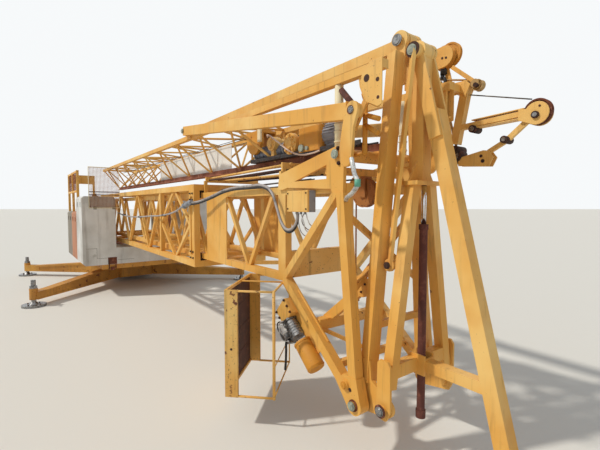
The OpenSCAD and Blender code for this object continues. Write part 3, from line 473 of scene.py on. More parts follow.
def dress_pins():
    """Pin ends, collars and keeper bolts on both sides, and the link's eye on the strut."""
    for side, word in SIDES:
        for make, name, pin, (dx, y, dz), radius, body, mat in PIN_ENDS:
            make(f"{name}_{word}", (pin.x + dx, y * side, pin.z + dz), side, radius, body, mat)
        bolts(f"keeper_bolts_{word}", [(0.019, 0.470 * side, 0.044), (0.027, 0.470 * side, -0.070)],
              (0, side, 0), 0.026, "dark_rust", "mast_inner", JIB_PIN)
    x, z = PIN_2.x - 0.088, PIN_2.z - 1.560
    p = Piece((x, -0.240, z))
    p.rod((0, 0, 0), ACROSS, 0.047, 0.026, 32)
    p.done("link_eye", "yellow", "strut", edge=0.003)
    pin_cap("link_pin_cap", (x, -0.2725, z), -1, 0.026, "strut", "dark_rust")
    pin_cap("second_pin_cap_far", (PIN_2.x, 0.099, PIN_2.z), 1, 0.04, "strut")
    pin_ring("second_pin_ring_near", (PIN_2.x, -0.1235, PIN_2.z), -1, 0.056, "strut", "dark_rust")
    pin_cap("second_pin_cap_near", (PIN_2.x - 0.004, -0.128, PIN_2.z), -1, 0.038, "strut")


# Cable, hose and control box

CABLE_ROUTE = [(8050, -485, 1845), (8050, -485, 1790), (8020, -498, 1715), (7940, -510, 1685),
               (7850, -510, 1740), (7760, -505, 1880), (7660, -495, 2020), (7540, -490, 2085),
               (7200, -490, 2100), (6700, -500, 2080), (6300, -530, 2000), (6050, -570, 1950),
               (5800, -600, 1930), (5600, -600, 1900), (5300, -600, 1820), (4700, -600, 1750),
               (4000, -600, 1720), (3300, -600, 1690), (2600, -600, 1680), (2000, -600, 1700),
               (1500, -600, 1740)]
CONNECTOR, BEYOND = 12, 14  # points of the route at the connector and past it
CLIPS = (15, 17, 19)


def route_point(k, dy=0.0, dz=0.0):
    """A point of the cable's route; the list is in millimetres from the slewing axis."""
    x, y, z = CABLE_ROUTE[k]
    return Vector((x / 1000 + SLEW.x, y / 1000 + dy, z / 1000 + dz))


def dress_cables():
    """Supply cable, its second line, connector and clips, and the silver hose at the head."""
    grey = tube("mast_cable_sheath", [route_point(k) for k in range(len(CABLE_ROUTE))], 0.013,
                "cable", "mast_inner", 6)
    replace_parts(grey, "mast_cable")
    tube("mast_cable_second", [route_point(k, 0.004, -0.022) for k in range(CONNECTOR + 1)], 0.010,
         "black", "mast_inner", 6)
    p = Piece(route_point(CONNECTOR))
    line = (route_point(BEYOND) - p.at).normalized()
    for ahead, radius, depth, end in ((0.05, 0.034, 0.17, None), (0.15, 0.040, 0.05, None),
                                      (-0.06, 0.026, 0.07, 0.034), (0.21, 0.034, 0.09, 0.016)):
        p.rod(line * ahead, line, radius, depth, 24, end)
    p.done("cable_connector", "grey", "mast_inner", True)
    p = Piece()
    for k in CLIPS:
        p.at = route_point(k)
        p.box((-0.012, 0.008, -0.02), (0.012, 0.048, 0.02))
        p.rod((0, 0, 0), AHEAD, 0.019, 0.024, 16)
    p.done("cable_clips", "black", "mast_inner")
    hose = [Vector(knot) for knot in (
        (0.258, -0.566, -0.062), (0.277, -0.574, -0.108), (0.298, -0.578, -0.167),
        (0.329, -0.578, -0.237), (0.288, -0.570, -0.289), (0.178, -0.530, -0.333),
        (0.10, -0.465, -0.35))]
    tube("silver_hose", hose, 0.017, "foil", "mast_inner", at=JIB_PIN)
    p = Piece(JIB_PIN)
    p.rod(hose[3], hose[4] - hose[2], 0.021, 0.05, 20)
    p.done("hose_tape", "tape", "mast_inner", True)


def dress_box():
    """Control box under the near chord: grey body, yellow lid with its screws, pale leads."""
    lo = JIB_PIN + Vector((-0.5755, -0.530, -0.445))
    hi = JIB_PIN + Vector((-0.2855, -0.441, -0.265))
    lid, glands, leads = 0.022, 3, ((0.02, 0.10), (-0.025, 0.13), (0.035, 0.15), (0.0, 0.18))
    p = Piece()
    p.box((lo.x + 0.004, lo.y + lid + 0.001, lo.z), (hi.x - 0.001, hi.y, hi.z))
    for k in range(glands):
        p.rod((hi.x - 0.10 - 0.06 * k, lo.y + 0.055, lo.z - 0.010), UP, 0.013, 0.022, 6)
    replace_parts(p.done("box_body", "grey", "mast_inner", edge=0.004), "electric_box")
    p = Piece()
    p.box(lo, (hi.x, lo.y + lid, hi.z))
    p.done("box_lid", "yellow", "mast_inner", edge=0.005)
    p = Piece()
    p.box((lo.x - 0.03, hi.y - 0.004, hi.z - 0.001), (hi.x + 0.02, hi.y + 0.001, hi.z + 0.016))
    for x in (lo.x + 0.05, hi.x - 0.05):
        p.box((x - 0.015, lo.y + 0.03, hi.z - 0.001), (x + 0.015, hi.y, hi.z + 0.004))
    p.done("box_hangers", "worn_yellow", "mast_inner")
    left, right, low, high = lo.x + 0.014, hi.x - 0.018, lo.z + 0.026, hi.z - 0.022
    screws = [(x, lo.y, z) for x, z in ((left, low), (right, high), (left, high), (right, low))]
    bolts("box_screws", screws, (0, -1, 0), 0.012, "dark_rust", "mast_inner")
    for k, (bow, dip) in enumerate(leads):
        tube(f"box_lead_{k}", [(0, 0, 0), (bow, 0, -dip * 0.5), (bow * 0.5 + 0.02, 0.03, -dip),
                               (0.10, 0.085, -dip - 0.03)],
             0.0045, "cable" if k % 2 else "white_lead", "mast_inner", 10,
             (hi.x - 0.085 - 0.035 * k, lo.y + 0.055, lo.z - 0.015))


# Ropes

THIN_ROPE, MAST_ROPE = 0.0045, 0.006


def dress_ropes():
    """Ropes from the winch to the root, along the jib, and along the mast from its sheave."""
    straight("hoist_ropes", [((-1.40, y, 0.30), (-0.02, y * 0.5, 0.50))
                             for y in (-0.035, 0.0, 0.035)], THIN_ROPE, "rope", "jib", at=JIB_PIN)
    lo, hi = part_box("jib_lower_chord")
    z, winch = hi.z + 0.35, JIB_PIN.x - 1.95
    straight("trolley_ropes", [((lo.x + 0.4, y, z + dz), (winch, y, z + dz * 0.4))
                               for y, dz in ((-0.05, 0.02), (0.05, 0.05), (0.09, -0.03))],
             THIN_ROPE, "rope", "jib", 6)
    lo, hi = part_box("rope_sheave")
    wheel = (lo.x + hi.x) / 2
    pairs = [((wheel, y, 2.133), (1.1, y * 2.4, 2.083)) for y in (-0.012, 0.0, 0.012)]
    pairs += [((wheel - 0.5, y, 2.150), (2.2, y, 2.115)) for y in (-0.20, -0.16, 0.16)]
    straight("mast_ropes", pairs, MAST_ROPE, "rope", "mast_inner", 6)


# Winches

def dress_winches():
    """Hoist winch in the jib root: bed, rounded cover, ribbed motor, hub, drum and brackets."""
    front, back, half, deck, axle = -0.10, -1.95, 0.115, 0.140, 0.28
    p = Piece(JIB_PIN)
    p.box((back, -half, 0.1205), (front, half, deck))
    for y in (-half, half - 0.012):
        p.box((back, y, deck - 0.001), (front, y + 0.012, deck + 0.025))
    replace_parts(p.done("winch_bed", "dark", "jib", edge=0.003), "hoist_winch")

    r, left, right, wide = 0.045, -0.975, -0.610, 0.125
    outline = []
    for x, y, start in ((right - r, r - wide, -90), (right - r, wide - r, 0),
                        (left + r, wide - r, 90), (left + r, r - wide, 180)):
        outline += arc(x, y, r, start, start + 90, 6)
    p = Piece()
    p.prism([(JIB_PIN.x + x, y, JIB_PIN.z + deck) for x, y in outline], 2, JIB_PIN.z + 0.383)
    p.done("winch_cover", "orange", "jib", edge=0.008)

    p = Piece(JIB_PIN + Vector((-0.525, 0, axle)))
    p.rod((0, 0, 0), AHEAD, 0.104, 0.17, 40)
    p.rod((0.092, 0, 0), AHEAD, 0.113, 0.022, 40, 0.092)
    for turn in full_turn(22):
        fin = p.at + Vector((0, math.cos(turn), math.sin(turn))) * 0.106
        p.block(Matrix.Translation(fin) @ Matrix.Rotation(turn, 4, "X")
                @ Matrix.Diagonal((0.16, 0.022, 0.0055, 1)))
    p.box((-0.06, -0.075, -0.142), (0.06, 0.075, -0.09))
    p.box((-0.05, -0.05, 0.095), (0.05, 0.05, 0.145))
    p.done("hoist_motor", "motor_grey", "jib", edge=0.002)

    p = Piece(JIB_PIN + Vector((-1.107, -0.1, 0.255)))
    p.rod((0, 0, 0), ACROSS, 0.112, 0.05, 40)
    p.rod((0, 0.11, 0), ACROSS, 0.085, 0.20, 32)
    p.rod((0, -0.035, 0), ACROSS, 0.055, 0.03, 32, 0.075)
    p.box((-0.07, -0.012, -0.12), (0.07, 0.03, -0.05))
    for turn in full_turn(8):
        out = Vector((math.cos(turn), 0, math.sin(turn)))
        p.rod(out * 0.088 - Vector((0, 0.028, 0)), ACROSS, 0.014, 0.03, 10)
        p.rod(out * 0.06 - Vector((0, 0.03, 0)), out, 0.010, 0.07, 8)
    p.done("winch_hub", "worn_yellow", "jib", edge=0.002)

    drum = JIB_PIN + Vector((-1.60, 0, 0.232))
    p = Piece(drum)
    p.rod((0, 0, 0), AHEAD, 0.074, 0.60, 40)
    for x in (-0.30, 0.30):
        p.rod((x, 0, 0), AHEAD, 0.092, 0.018, 40)
    for x in (-0.335, 0.335):
        p.box((x - 0.012, -0.05, -0.093), (x + 0.012, 0.05, 0.03))
    p.done("rope_drum", "grey", "jib", edge=0.003)
    wraps, length = 30, 0.55
    p = Piece(drum)
    for k in range(wraps):
        p.rod((length * (k / (wraps - 1) - 0.5), 0, 0), (1, 0.14, 0), 0.084, 0.011, 36)
    p.done("rope_on_drum", "drum_rope", "jib", True)

    left, right, top = -1.99, -1.66, 0.49
    p = Piece(JIB_PIN)
    p.plate([(left, top), (left, 0.33)] + arc(-1.83, 0.37, 0.155, 200, 330, 12)
            + [(right, 0.34), (right, top)], -0.14, -0.10)
    p.plate([(left, top), (left, 0.33), (right, 0.33), (right, top)], 0.06, 0.075)
    p.box((left, -0.10, 0.46), (right, 0.06, top))
    p.box((-1.94, -0.11, 0.139), (-1.90, -0.10, 0.34))
    p.done("trolley_winch_bracket", "orange", "jib", edge=0.003)
    p = Piece(JIB_PIN)
    p.box((-1.70, -0.165, 0.345), (-1.63, -0.141, 0.495))
    p.done("bracket_post", "cream", "jib", edge=0.003)
    p = Piece(JIB_PIN + Vector((-1.46, -0.08, 0.30)))
    p.rod((0, 0, 0), ACROSS, 0.078, 0.10, 36)
    p.rod((0, -0.06, 0), ACROSS, 0.05, 0.03, 28, 0.062)
    p.rod((0, 0.12, 0), ACROSS, 0.062, 0.16, 28)
    p.box((-0.03, -0.03, -0.161), (0.03, 0.03, -0.05))
    p.done("trolley_winch_housing", "worn_yellow", "jib", edge=0.002)
    p = Piece(JIB_PIN)
    p.rod((-0.885, -0.135, 0.180), ACROSS, 0.036, 0.035, 28)
    p.rod((-0.80, -0.133, 0.172), ACROSS, 0.020, 0.03, 24)
    p.done("brake_end", "pin", "jib", True)
    hose = [(-1.53, -0.13, 0.385), (-1.494, -0.155, 0.397), (-1.272, -0.16, 0.29),
            (-1.049, -0.16, 0.165), (-0.905, -0.14, 0.118), (-0.737, -0.12, 0.115),
            (-0.62, -0.118, 0.13)]
    tube("winch_hose", hose, 0.009, "pale_hose", "jib", at=JIB_PIN)


def dress_lower_winch():
    """Winch behind the near leg: carrier plate, gearbox, motor, end bell and its arm."""
    y = -0.455
    slope = Vector((0.755, 0, -0.655))  # from the gearbox down to the bell
    eye_x, eye_z = 4.870, 1.268
    p = Piece()
    p.bar((4.150, 1.060), (4.560, 0.700), 0.24, 0.016, -0.420)
    for x, z in ((4.30, 1.02), (4.52, 0.83), (4.66, 0.70)):
        p.box((x - 0.03, -0.425, z - 0.03), (x + 0.03, -0.398, z + 0.03))
    p.bar((4.060, 0.985), (4.180, 0.880), 0.19, 0.10, y - 0.01)
    p.bar((4.42, 0.895), (4.870, 1.255), 0.080, 0.050, -0.25)
    p.plate(arc(eye_x, eye_z, 0.088, 0, 342, 24), -0.287, -0.274)
    p.box((4.42, -0.40, 0.86), (4.50, -0.225, 0.93))
    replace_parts(p.done("lower_winch_carrier", "yellow", "mast_inner", edge=0.003), "lower_winch")
    p = Piece((4.365, y - 0.01, 0.690))
    p.rod(slope * 0.10, slope, 0.078, 0.23, 40)
    p.rod(slope * 0.225, slope, 0.081, 0.02, 40, 0.070)
    p.rod(slope * -0.02, slope, 0.083, 0.018, 40)
    p.done("lower_winch_bell", "orange", "mast_inner", edge=0.002)
    motor = Vector((4.225, y - 0.01, 0.790))
    p = Piece(motor)
    p.rod((0, 0, 0), slope, 0.064, 0.16, 32)
    p.rod(slope * -0.09, slope, 0.076, 0.02, 32)
    p.rod((-0.05, -0.03, -0.06), (0, 1, 0.3), 0.030, 0.12, 20)
    p.rod((-0.04, 0.0, -0.12), (0.2, 1, 0), 0.022, 0.10, 20)
    p.box((-0.085, -0.055, 0.0), (-0.02, 0.035, 0.055))
    for k in range(5):
        p.rod(slope * (-0.05 + 0.025 * k), slope, 0.069, 0.007, 32)
    p.done("lower_winch_motor", "steel", "mast_inner", edge=0.002)
    heads = [(4.060 + 0.12 * a + 0.045 * b, y - 0.0605, 0.985 - 0.105 * a + 0.052 * b)
             for a in (0.1, 0.5, 0.9) for b in (-1.3, 1.3)]
    bolts("lower_winch_bolts", heads, (0, -1, 0), 0.020, "dark_rust", "mast_inner")
    heads = [(eye_x + 0.045 * math.cos(t), -0.2875, eye_z + 0.045 * math.sin(t))
             for t in (0.5, 2.6, 4.7)]
    bolts("arm_bolts", heads, (0, -1, 0), 0.016, "dark_rust", "mast_inner")
    pipe = [(4.20, y - 0.02, 0.72), (4.13, y - 0.03, 0.66), (4.12, y - 0.03, 0.56),
            (4.10, y - 0.02, 0.46), (4.06, y, 0.36)]
    tube("lower_winch_pipe", pipe, 0.011, "black", "mast_inner")
    leads = (("cable", 0, 0.03), ("white_lead", 0.02, -0.02), ("black", -0.03, 0))
    for k, (mat, dx, dz) in enumerate(leads):
        tube(f"lower_winch_lead_{k}",
             [(-0.05 + dx, -0.05, 0.05 + dz), (-0.14 + dx, -0.07, 0.02),
              (-0.12, -0.06, -0.08 + dz), (0, -0.065, -0.10)], 0.006, mat, "mast_inner", at=motor)


# Guy rods and service cage

def dress_pendants():
    """Folded guy rods on the inner mast, held between two cross rests."""
    near, far = 2.130, 3.930
    p = Piece()
    for x, z in ((near, 2.275), (far, 2.310)):
        p.box((x - 0.012, -0.40, 2.205), (x + 0.012, 0.40, z))
        for s in BOTH:
            p.box((x - 0.018, 0.38 * s, 2.06), (x + 0.018, 0.42 * s, 2.225))
    p.done("pendant_rests", "worn_yellow", "mast_inner", edge=0.002)
    for name, mat, radius, *rods in (
            ("pendant_rods", "worn_yellow", 0.015,
             (-0.31, 2.262, 2.298), (0.30, 2.262, 2.298), (-0.12, 2.240, 2.222)),
            ("pendant_bars", "rust", 0.014, (-0.22, 2.245, 2.268), (0.20, 2.245, 2.268)),
            ("pendant_ropes", "dark_rust", 0.010,
             (-0.35, 2.236, 2.236), (-0.05, 2.25, 2.29), (0.08, 2.235, 2.212))):
        straight(name, [((near - 0.03, y, a), (far + 0.04, y, b)) for y, a, b in rods],
                 radius, mat, "mast_inner", 12)


def dress_cage():
    """Service cage under the near chord: rusted floor plate, two flanges and a rod frame."""
    width, depth, height, reach = 0.788, 0.117, 0.930, 0.310
    top = 1.1897
    place = (Matrix.Translation((SLEW.x + 7.213, -0.492, top - height))
             @ Matrix.Rotation(math.radians(-45), 4, "Z"))

    def box(p, lo, hi):
        lo, hi = Vector(lo), Vector(hi)
        p.block(place @ Matrix.Translation((lo + hi) / 2) @ Matrix.Diagonal((*(hi - lo), 1)))

    flange, lip, rail, skin = 0.008, 0.010, 0.025, 0.004
    p = Piece()
    box(p, (0, 0, 0), (flange, depth, height))
    box(p, (0, depth - 0.006, 0), (flange + lip, depth, height))
    box(p, (width - flange, 0, 0), (width, depth, height))
    box(p, (width - flange - lip, depth - 0.006, 0), (width, depth, height))
    box(p, (0, 0, 0), (width, skin, height))
    for z in (0, height - rail):
        box(p, (flange, skin, z), (width - flange, 0.020, z + rail))
    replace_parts(p.done("cage_flanges", "worn_yellow", "mast_inner", edge=0.002), "service_cage")
    p = Piece()
    box(p, (0.010, skin, 0.026), (width - 0.010, 0.0055, height - 0.026))
    for z in (height * k / 4 for k in (1, 2, 3)):
        box(p, (0.010, skin, z - 0.003), (width - 0.010, 0.009, z + 0.003))
    p.done("cage_floor", "cage_rust", "mast_inner")
    far, low, high, left, right = depth + reach, 0.010, height - 0.012, 0.010, width - 0.010
    rods = [((x, depth - 0.01, z), (x, far, z), 0.010) for x in (left, right) for z in (low, high)]
    rods += [((right, far, 0), (right, far, height), 0.013),
             ((left, far, 0), (left, far, height - 0.01), 0.007),
             ((0, far, 0.012), (width, far, 0.012), 0.007),
             ((0, far, 0.27), (width, far, 0.27), 0.005),
             ((0, far, high), (width, far, high), 0.010),
             ((0.35, 0.02, high), (0.35, far, high), 0.008)]
    p = Piece()
    for a, b, radius in rods:
        p.line(place @ Vector(a), place @ Vector(b), radius, 10)
    p.done("cage_rods", "worn_yellow", "mast_inner", True)
    # Dark disc on the far flange: painted shade of a hole that is not cut.
    p = Piece(place @ Vector((width + 0.001, depth * 0.5, height * 0.45)))
    p.rod((0, 0, 0), place.to_3x3() @ Vector(AHEAD), 0.010, 0.003, 16)
    p.done("cage_hole_shade", "dark_rust", "mast_inner")


# Jib root, levers and long beams

def dress_jib():
    """Root of the jib: pivot tube, root plates, posts, braces, and the small holes as dark discs of
    painted shade.
    """
    shape = [(0.165, 0.5445), (0.178, 0.47), (0.225, 0.365), (0.245, 0.345), (0.345, 0.292),
             (0.37, 0.315), (0.37, 0.5445)]
    cheek = [(0.219, 0.534), (0.300, 0.612), (0.412, 0.612), (0.412, 0.30), (0.372, 0.290),
             (0.264, 0.344), (0.215, 0.451)]
    p = Piece(JIB_PIN)
    p.rod((0, 0, 0), ACROSS, 0.050, 0.868, 40)
    for s in BOTH:
        p.rod((0, 0.40 * s, 0), ACROSS, 0.060, 0.07, 40)
    p.box((-0.03, -0.03, 0), (0.07, 0.03, 0.0605))
    for s in BOTH:
        p.plate(shape, 0.388 * s, 0.412 * s)
        p.bar((0.01, 0.02), (0.25, 0.40), 0.045, 0.02, 0.397 * s)
        p.plate(cheek, 0.4305 * s, 0.4375 * s)
        for x, z in ((0.30, 0.36), (0.38, 0.33), (0.25, 0.45)):
            p.box((x - 0.01, 0.405 * s, z - 0.01), (x + 0.01, 0.432 * s, z + 0.01))
    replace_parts(p.done("root_frame", "worn_yellow", "jib", edge=0.0025), "jib_root_frame")
    for name, pairs, radius, mat, sides in (
            ("root_posts", mirrored(
                ((0.165, 0.335, 0.371), (0.162, 0.335, -0.010)),
                ((0.12, 0.335, 0.299), (0.30, 0.335, 0.232)),
                ((0.163, 0.335, 0.21), (0.29, 0.335, 0.132))), 0.019, "orange", 16),
            ("root_post_ties", mirrored(((0.165, 0.33, 0.371), (0.20, 0.395, 0.42)))
             + mirrored(((0.02, 0.335, 0), (0.162, 0.335, 0))), 0.015, "orange", 12),
            ("root_braces", mirrored(((-0.03, 0.397, 0.50), (0.143, 0.397, 0.314))),
             0.024, "oxide", 12)):
        straight(name, pairs, radius, mat, "jib", sides, JIB_PIN)
    p = Piece()
    for s in BOTH:
        p.at = JIB_PIN + Vector((-0.060, 0.392 * s, 0))
        p.rod((0, 0, 0.288), UP, 0.034, 0.512, 28)
        for z in (0.107, 0.185, 0.243):
            p.rod((0, 0, z), UP, 0.039, 0.012, 28)
        p.rod((0.005, 0, 0.05), UP, 0.041, 0.03, 28)
    p.done("cream_posts", "cream", "jib", True)
    # Dark discs on the cheek plates: painted shade of holes that are not cut.
    p = Piece(JIB_PIN)
    for s in BOTH:
        for x, z, r in ((0.373, 0.472, 0.015), (0.378, 0.350, 0.012), (0.271, 0.505, 0.026)):
            p.rod((x, 0.4378 * s, z), ACROSS, r, 0.004)
    p.done("root_hole_shades", "dark_rust", "jib", True)


def dress_tie_beams():
    """Levers at the root and the long beams, each pinned by its tongue to the lever's eye."""
    top, lug = (0.208, 0.287), (-3.18, 0.66)
    run = Vector((lug[0] - top[0], 0, lug[1] - top[1])).normalized()

    def past(place, length):
        return place[0] + run.x * length, place[1] + run.z * length

    start = past(top, 0.085)
    lever = (arc(*top, 0.062, -18, 160, 14) + [(0.118, 0.20), (0.102, 0.12), (0.085, 0.02)]
             + arc(0.150, -0.05, 0.060, 175, 345, 12) + [(0.219, 0.06), (0.226, 0.16)])
    p = Piece(JIB_PIN)
    for s in BOTH:
        p.plate(lever, 0.4965 * s, 0.5235 * s)
        p.bar(start, lug, 0.124, 0.060, 0.475 * s)
        p.bar(past(start, -0.010), start, 0.136, 0.066, 0.475 * s)
        p.bar(past(start, 0.02), top, 0.088, 0.034, 0.477 * s)
        p.rod((top[0], 0.477 * s, top[1]), ACROSS, 0.054, 0.036, 32)
        p.plate([(lug[0] - 0.06, 0.545), (lug[0] + 0.14, 0.545), (lug[0] + 0.06, 0.71),
                 (lug[0] - 0.06, 0.71)], 0.430 * s, 0.445 * s)
        p.rod((lug[0], 0.470 * s, lug[1]), ACROSS, 0.03, 0.09)
    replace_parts(p.done("tie_beams", "yellow", "jib", edge=0.003), "jib_tie_beams")
    for s, word in SIDES:
        eye = JIB_PIN + Vector((top[0], 0.527 * s, top[1]))
        pin_ring(f"lever_pin_ring_{word}", eye - Vector((0.008, 0.002 * s, 0)), s, 0.031, "jib")
        pin_cap(f"lever_pin_cap_{word}", eye, s, 0.024, "jib", "steel")
        pin_cap(f"lug_pin_cap_{word}", JIB_PIN + Vector((lug[0], 0.513 * s, lug[1])), s, 0.034,
                "jib")


# Ballast with its guard, the railing, the feet and the slewing ring

def dress_ballast():
    """Lifting eyes, the rusty hook plate, and marks of the casting on the front block."""
    p = Piece()
    for name in BALLAST:
        lo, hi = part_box(name)
        for s in BOTH:
            for dx in (-0.2, 0.2):
                p.at = Vector(((lo.x + hi.x) / 2 + dx, s * (hi.y - 0.30), hi.z))
                p.rod((0, 0, 0.006), UP, 0.05, 0.012)
                loop = [(0.035 * math.cos(a), 0, 0.012 + 0.045 * math.sin(a))
                        for a in (math.pi * k / 8 for k in range(9))]
                for a, b in zip(loop, loop[1:]):
                    p.line(a, b, 0.009, 8, 1.1)
    p.done("ballast_lifting_eyes", "rust", "turntable")
    face = (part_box("ballast_front")[1].x, 0, 0)
    p = Piece(face)
    for y in (-0.875, -0.745):
        p.box((0, y, 0.56), (0.016, y + 0.02, 0.80))
    p.box((0, -0.885, 0.655), (0.010, -0.715, 0.80))
    p.box((0, -0.84, 0.53), (0.030, -0.76, 0.60))
    p.done("ballast_hook_plate", "rust", "turntable", edge=0.002)
    p = Piece(face)
    for y in (-1.106, -0.747):
        p.box((-0.004, y - 0.030, 1.82), (0.003, y + 0.030, 1.875))
    for y0, y1, z0, z1 in ((-1.291, -1.090, 1.001, 1.007), (-1.094, -1.088, 0.790, 1.007),
                           (-1.090, -0.730, 0.788, 0.794), (-0.690, -0.370, 0.735, 0.741)):
        p.box((-0.002, y0, z0), (0.0012, y1, z1))
    p.done("ballast_marks", "seam", "turntable")


def dress_guard():
    """Rusty wire guard that stands up from the near front block's face."""
    left, right, low, top, bar, stub = -1.215, -0.640, 1.850, 2.690, 2.180, 1.880
    wire, mesh = 0.0028, 0.025
    at = (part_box("ballast_front")[1].x + 0.012, 0, 0)
    straight("guard_rim", [((0, left, low), (0, left, top)), ((0, right, low), (0, right, top)),
                           ((0, left, top), (0, right, top)), ((0, left, low), (0, right, low))],
             0.007, "cream", "turntable", at=at)
    straight("guard_bar", [((0, left, z), (0, right, z)) for z in (bar, bar - 0.06)]
             + [((-0.02, y, stub), (0, y, stub)) for y in (left + 0.02, right - 0.02)],
             0.010, "rust", "turntable", at=at)
    upright = (left + mesh * k for k in range(1, int((right - left) / mesh) + 1))
    level = (low + mesh * k for k in range(1, int((top - low) / mesh) + 1))
    straight("guard_mesh", [((0, y, low), (0, y, top)) for y in upright]
             + [((0, left, z), (0, right, z)) for z in level],
             wire, "sheave_brown", "turntable", 5, at)


def dress_railing():
    """Fine wire mesh in the railing's upper half, and four bolts at its end."""
    lo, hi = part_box("ballast_railing")
    wire, columns, rows = 0.0022, 34, 9
    low, high = (lo.z + hi.z) / 2, hi.z - 0.03
    p = Piece((0, lo.y + 0.025, 0))
    for k in range(columns + 1):
        x = lo.x + 0.04 + (hi.x - lo.x - 0.08) * k / columns
        p.line((x, 0, low), (x, 0, high), wire, 5)
    for k in range(rows):
        z = low + (high - low) * k / (rows - 1)
        p.line((lo.x + 0.03, 0, z), (hi.x - 0.03, 0, z), wire, 5)
    p.done("railing_wire_mesh", "rail", "turntable")
    bolts("railing_bolts", [(lo.x, lo.y + 0.06 + 0.12 * k, hi.z - 0.11) for k in range(4)],
          (-1, 0, 0), 0.02, "dark", "turntable")


def dress_jacks():
    """Threads of the four screw jacks and the bolts of their pads."""
    lo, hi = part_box("jack_feet")
    feet = [(x, y) for x in (lo.x + 0.2, hi.x - 0.2) for y in (lo.y + 0.2, hi.y - 0.2)]
    pitch = 0.011
    p = Piece()
    for x, y in feet:
        z = 0.40
        while z < hi.z - 0.05:
            p.rod((x, y, z), UP, 0.0425, 0.006, 28, 0.039)
            z += pitch
    p.done("jack_threads", "steel", "base", True)
    corners = [math.pi / 4 + a for a in full_turn(4)]
    heads = [(x + 0.13 * math.cos(a), y + 0.13 * math.sin(a), 0.04)
             for x, y in feet for a in corners]
    bolts("jack_pad_bolts", heads, UP, 0.022, "rust", "base")


def dress_ring():
    """Ring of bolts on the deck, over the slewing ring."""
    radius, deck = 0.47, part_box("turntable_deck")[1].z
    heads = [(SLEW.x + radius * math.cos(a), radius * math.sin(a), deck) for a in full_turn(36)]
    bolts("slewing_ring_bolts", heads, UP, 0.024, "rust", "turntable")


def dress_collar():
    """Bolts of the guide pads on both sides of the collar."""
    lo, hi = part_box("outer_mast_collar")
    for s, word in SIDES:
        bolts(f"collar_bolts_{word}",
              [(x, s * hi.y, z) for z in (lo.z + 0.12, lo.z + 0.20, hi.z - 0.20, hi.z - 0.12)
               for x in (lo.x + 0.05, hi.x - 0.05)], (0, s, 0), 0.022, "dark", "mast_outer")


# Sheaves and the cylinder

